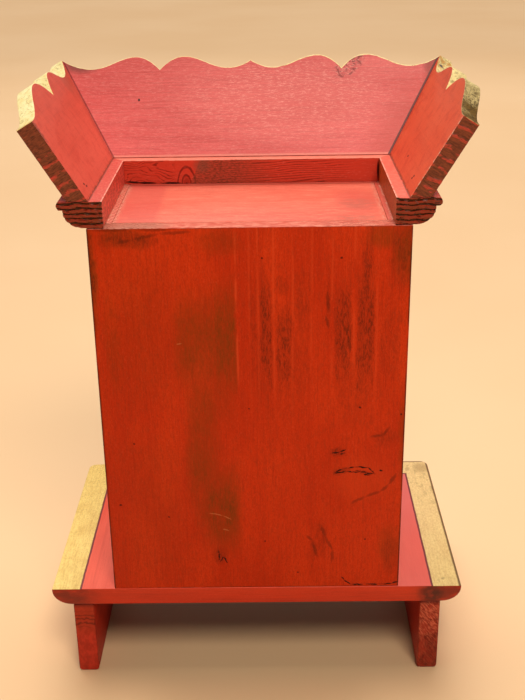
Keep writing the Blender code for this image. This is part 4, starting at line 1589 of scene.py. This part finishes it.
def board_copy(node, name, material):
    """A copy of a solid with merged corners, broad faces and its own paint."""
    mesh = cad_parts[node].data.copy()
    shape = bmesh.new()
    shape.from_mesh(mesh)
    bmesh.ops.remove_doubles(shape, verts=shape.verts, dist=SAME_PLACE)
    bmesh.ops.dissolve_limit(shape, angle_limit=SAME_PLANE, verts=shape.verts, edges=shape.edges)
    shape.to_mesh(mesh)
    shape.free()
    mesh.materials.clear()
    mesh.materials.append(material)
    piece = bpy.data.objects.new(name, mesh)
    bpy.context.scene.collection.objects.link(piece)
    return piece


print("corners closer than", SAME_PLACE / MM, "mm are merged")

# %% Copy and round the boards
BOARDS = [
    ("back_board", "back_panel", BACK_RED, "cabinet_red_paint", 0.6),
    ("side_board_left", "side_panel_left", SIDE_REDS["left"], "cabinet_red_paint", 0.3),
    ("side_board_right", "side_panel_right", SIDE_REDS["right"], "cabinet_red_paint", 0.3),
    ("front_frame", "front_frame_panel", FRONT_RED, "cabinet_red_paint", 0.6),
    ("top_board", "tray_panel", TRAY_RED, "tray_red_paint", 0.15),
    ("base_board", "table_top_panel", TABLE_PAINT, "base_red_and_gold_paint", 0.5),
    ("foot_left", "foot_panel_left", FOOT_REDS["left"], "foot_red_paint", 0.8),
    ("foot_right", "foot_panel_right", FOOT_REDS["right"], "foot_red_paint", 0.8),
]
for node, name, material, slot, round_mm in BOARDS:
    piece = board_copy(node, name, material)
    soften(piece, round_mm * MM)
    fit(piece, node, slot)

# %% [markdown]
# ## Floor and light
# A plain pale floor and soft light show the shapes as in the photograph. A broad soft sun stands overhead. A
# panel beyond the cabinet gives the faces that look up a pale sheen, and a smaller lamp on the camera's side
# lights the back.

# %% Floor
FLOOR_SIZE = 40.0


def add_floor():
    mesh = bpy.data.meshes.new("floor")
    half = FLOOR_SIZE / 2
    corners = [(-half, -half, 0), (half, -half, 0), (half, half, 0), (-half, half, 0)]
    mesh.from_pydata(corners, [], [(0, 1, 2, 3)])
    paint = Finish("pale_floor")
    colour = paint.mix(paint.cloud((900, 900, 900), 0.3, 0.7), srgb(228, 192, 150), srgb(232, 198, 158))
    mesh.materials.append(paint.finish(colour, 0.5, 0.1, 0.55))
    floor = bpy.data.objects.new("floor", mesh)
    bpy.context.scene.collection.objects.link(floor)


add_floor()
print("floor is", FLOOR_SIZE, "m wide")


# %% Lamps
def add_lamp(name, kind, place, target, size, power, colour):
    """A soft lamp that faces the target. Size is in metres for a panel, and in degrees for a sun."""
    data = bpy.data.lights.new(name, kind)
    if kind == "SUN":
        data.angle = math.radians(size)
    else:
        data.shape = "SQUARE"
        data.size = size
    data.energy = power
    data.color = colour
    lamp = bpy.data.objects.new(name, data)
    aim = (Vector(target) - Vector(place)).to_track_quat("-Z", "Y")
    lamp.matrix_world = Matrix.Translation(place) @ aim.to_matrix().to_4x4()
    lamp.visible_camera = False
    bpy.context.scene.collection.objects.link(lamp)


LAMPS = [
    ("overhead_light", "SUN", (0.15, -0.9, 3.0), (0, 0, 0.3), 45.0, 3.0, (1.0, 0.91, 0.78)),
    ("far_light", "AREA", (0, -3.2, 2.0), (0, 0, 0.4), 2.0, 16.0, (1.0, 0.95, 0.88)),
    ("near_light", "AREA", (-0.5, 1.8, 2.6), (0, 0, 0.45), 1.0, 46.0, (1.0, 0.90, 0.76)),
]
for lamp in LAMPS:
    add_lamp(*lamp)
world = bpy.data.worlds.new("soft_room")
world.use_nodes = True
background = world.node_tree.nodes["Background"]
background.inputs["Color"].default_value = srgb(255, 240, 222)
background.inputs["Strength"].default_value = 0.10
bpy.context.scene.world = world
bpy.context.scene.view_settings.view_transform = "Standard"
print("lamps:", len(LAMPS))
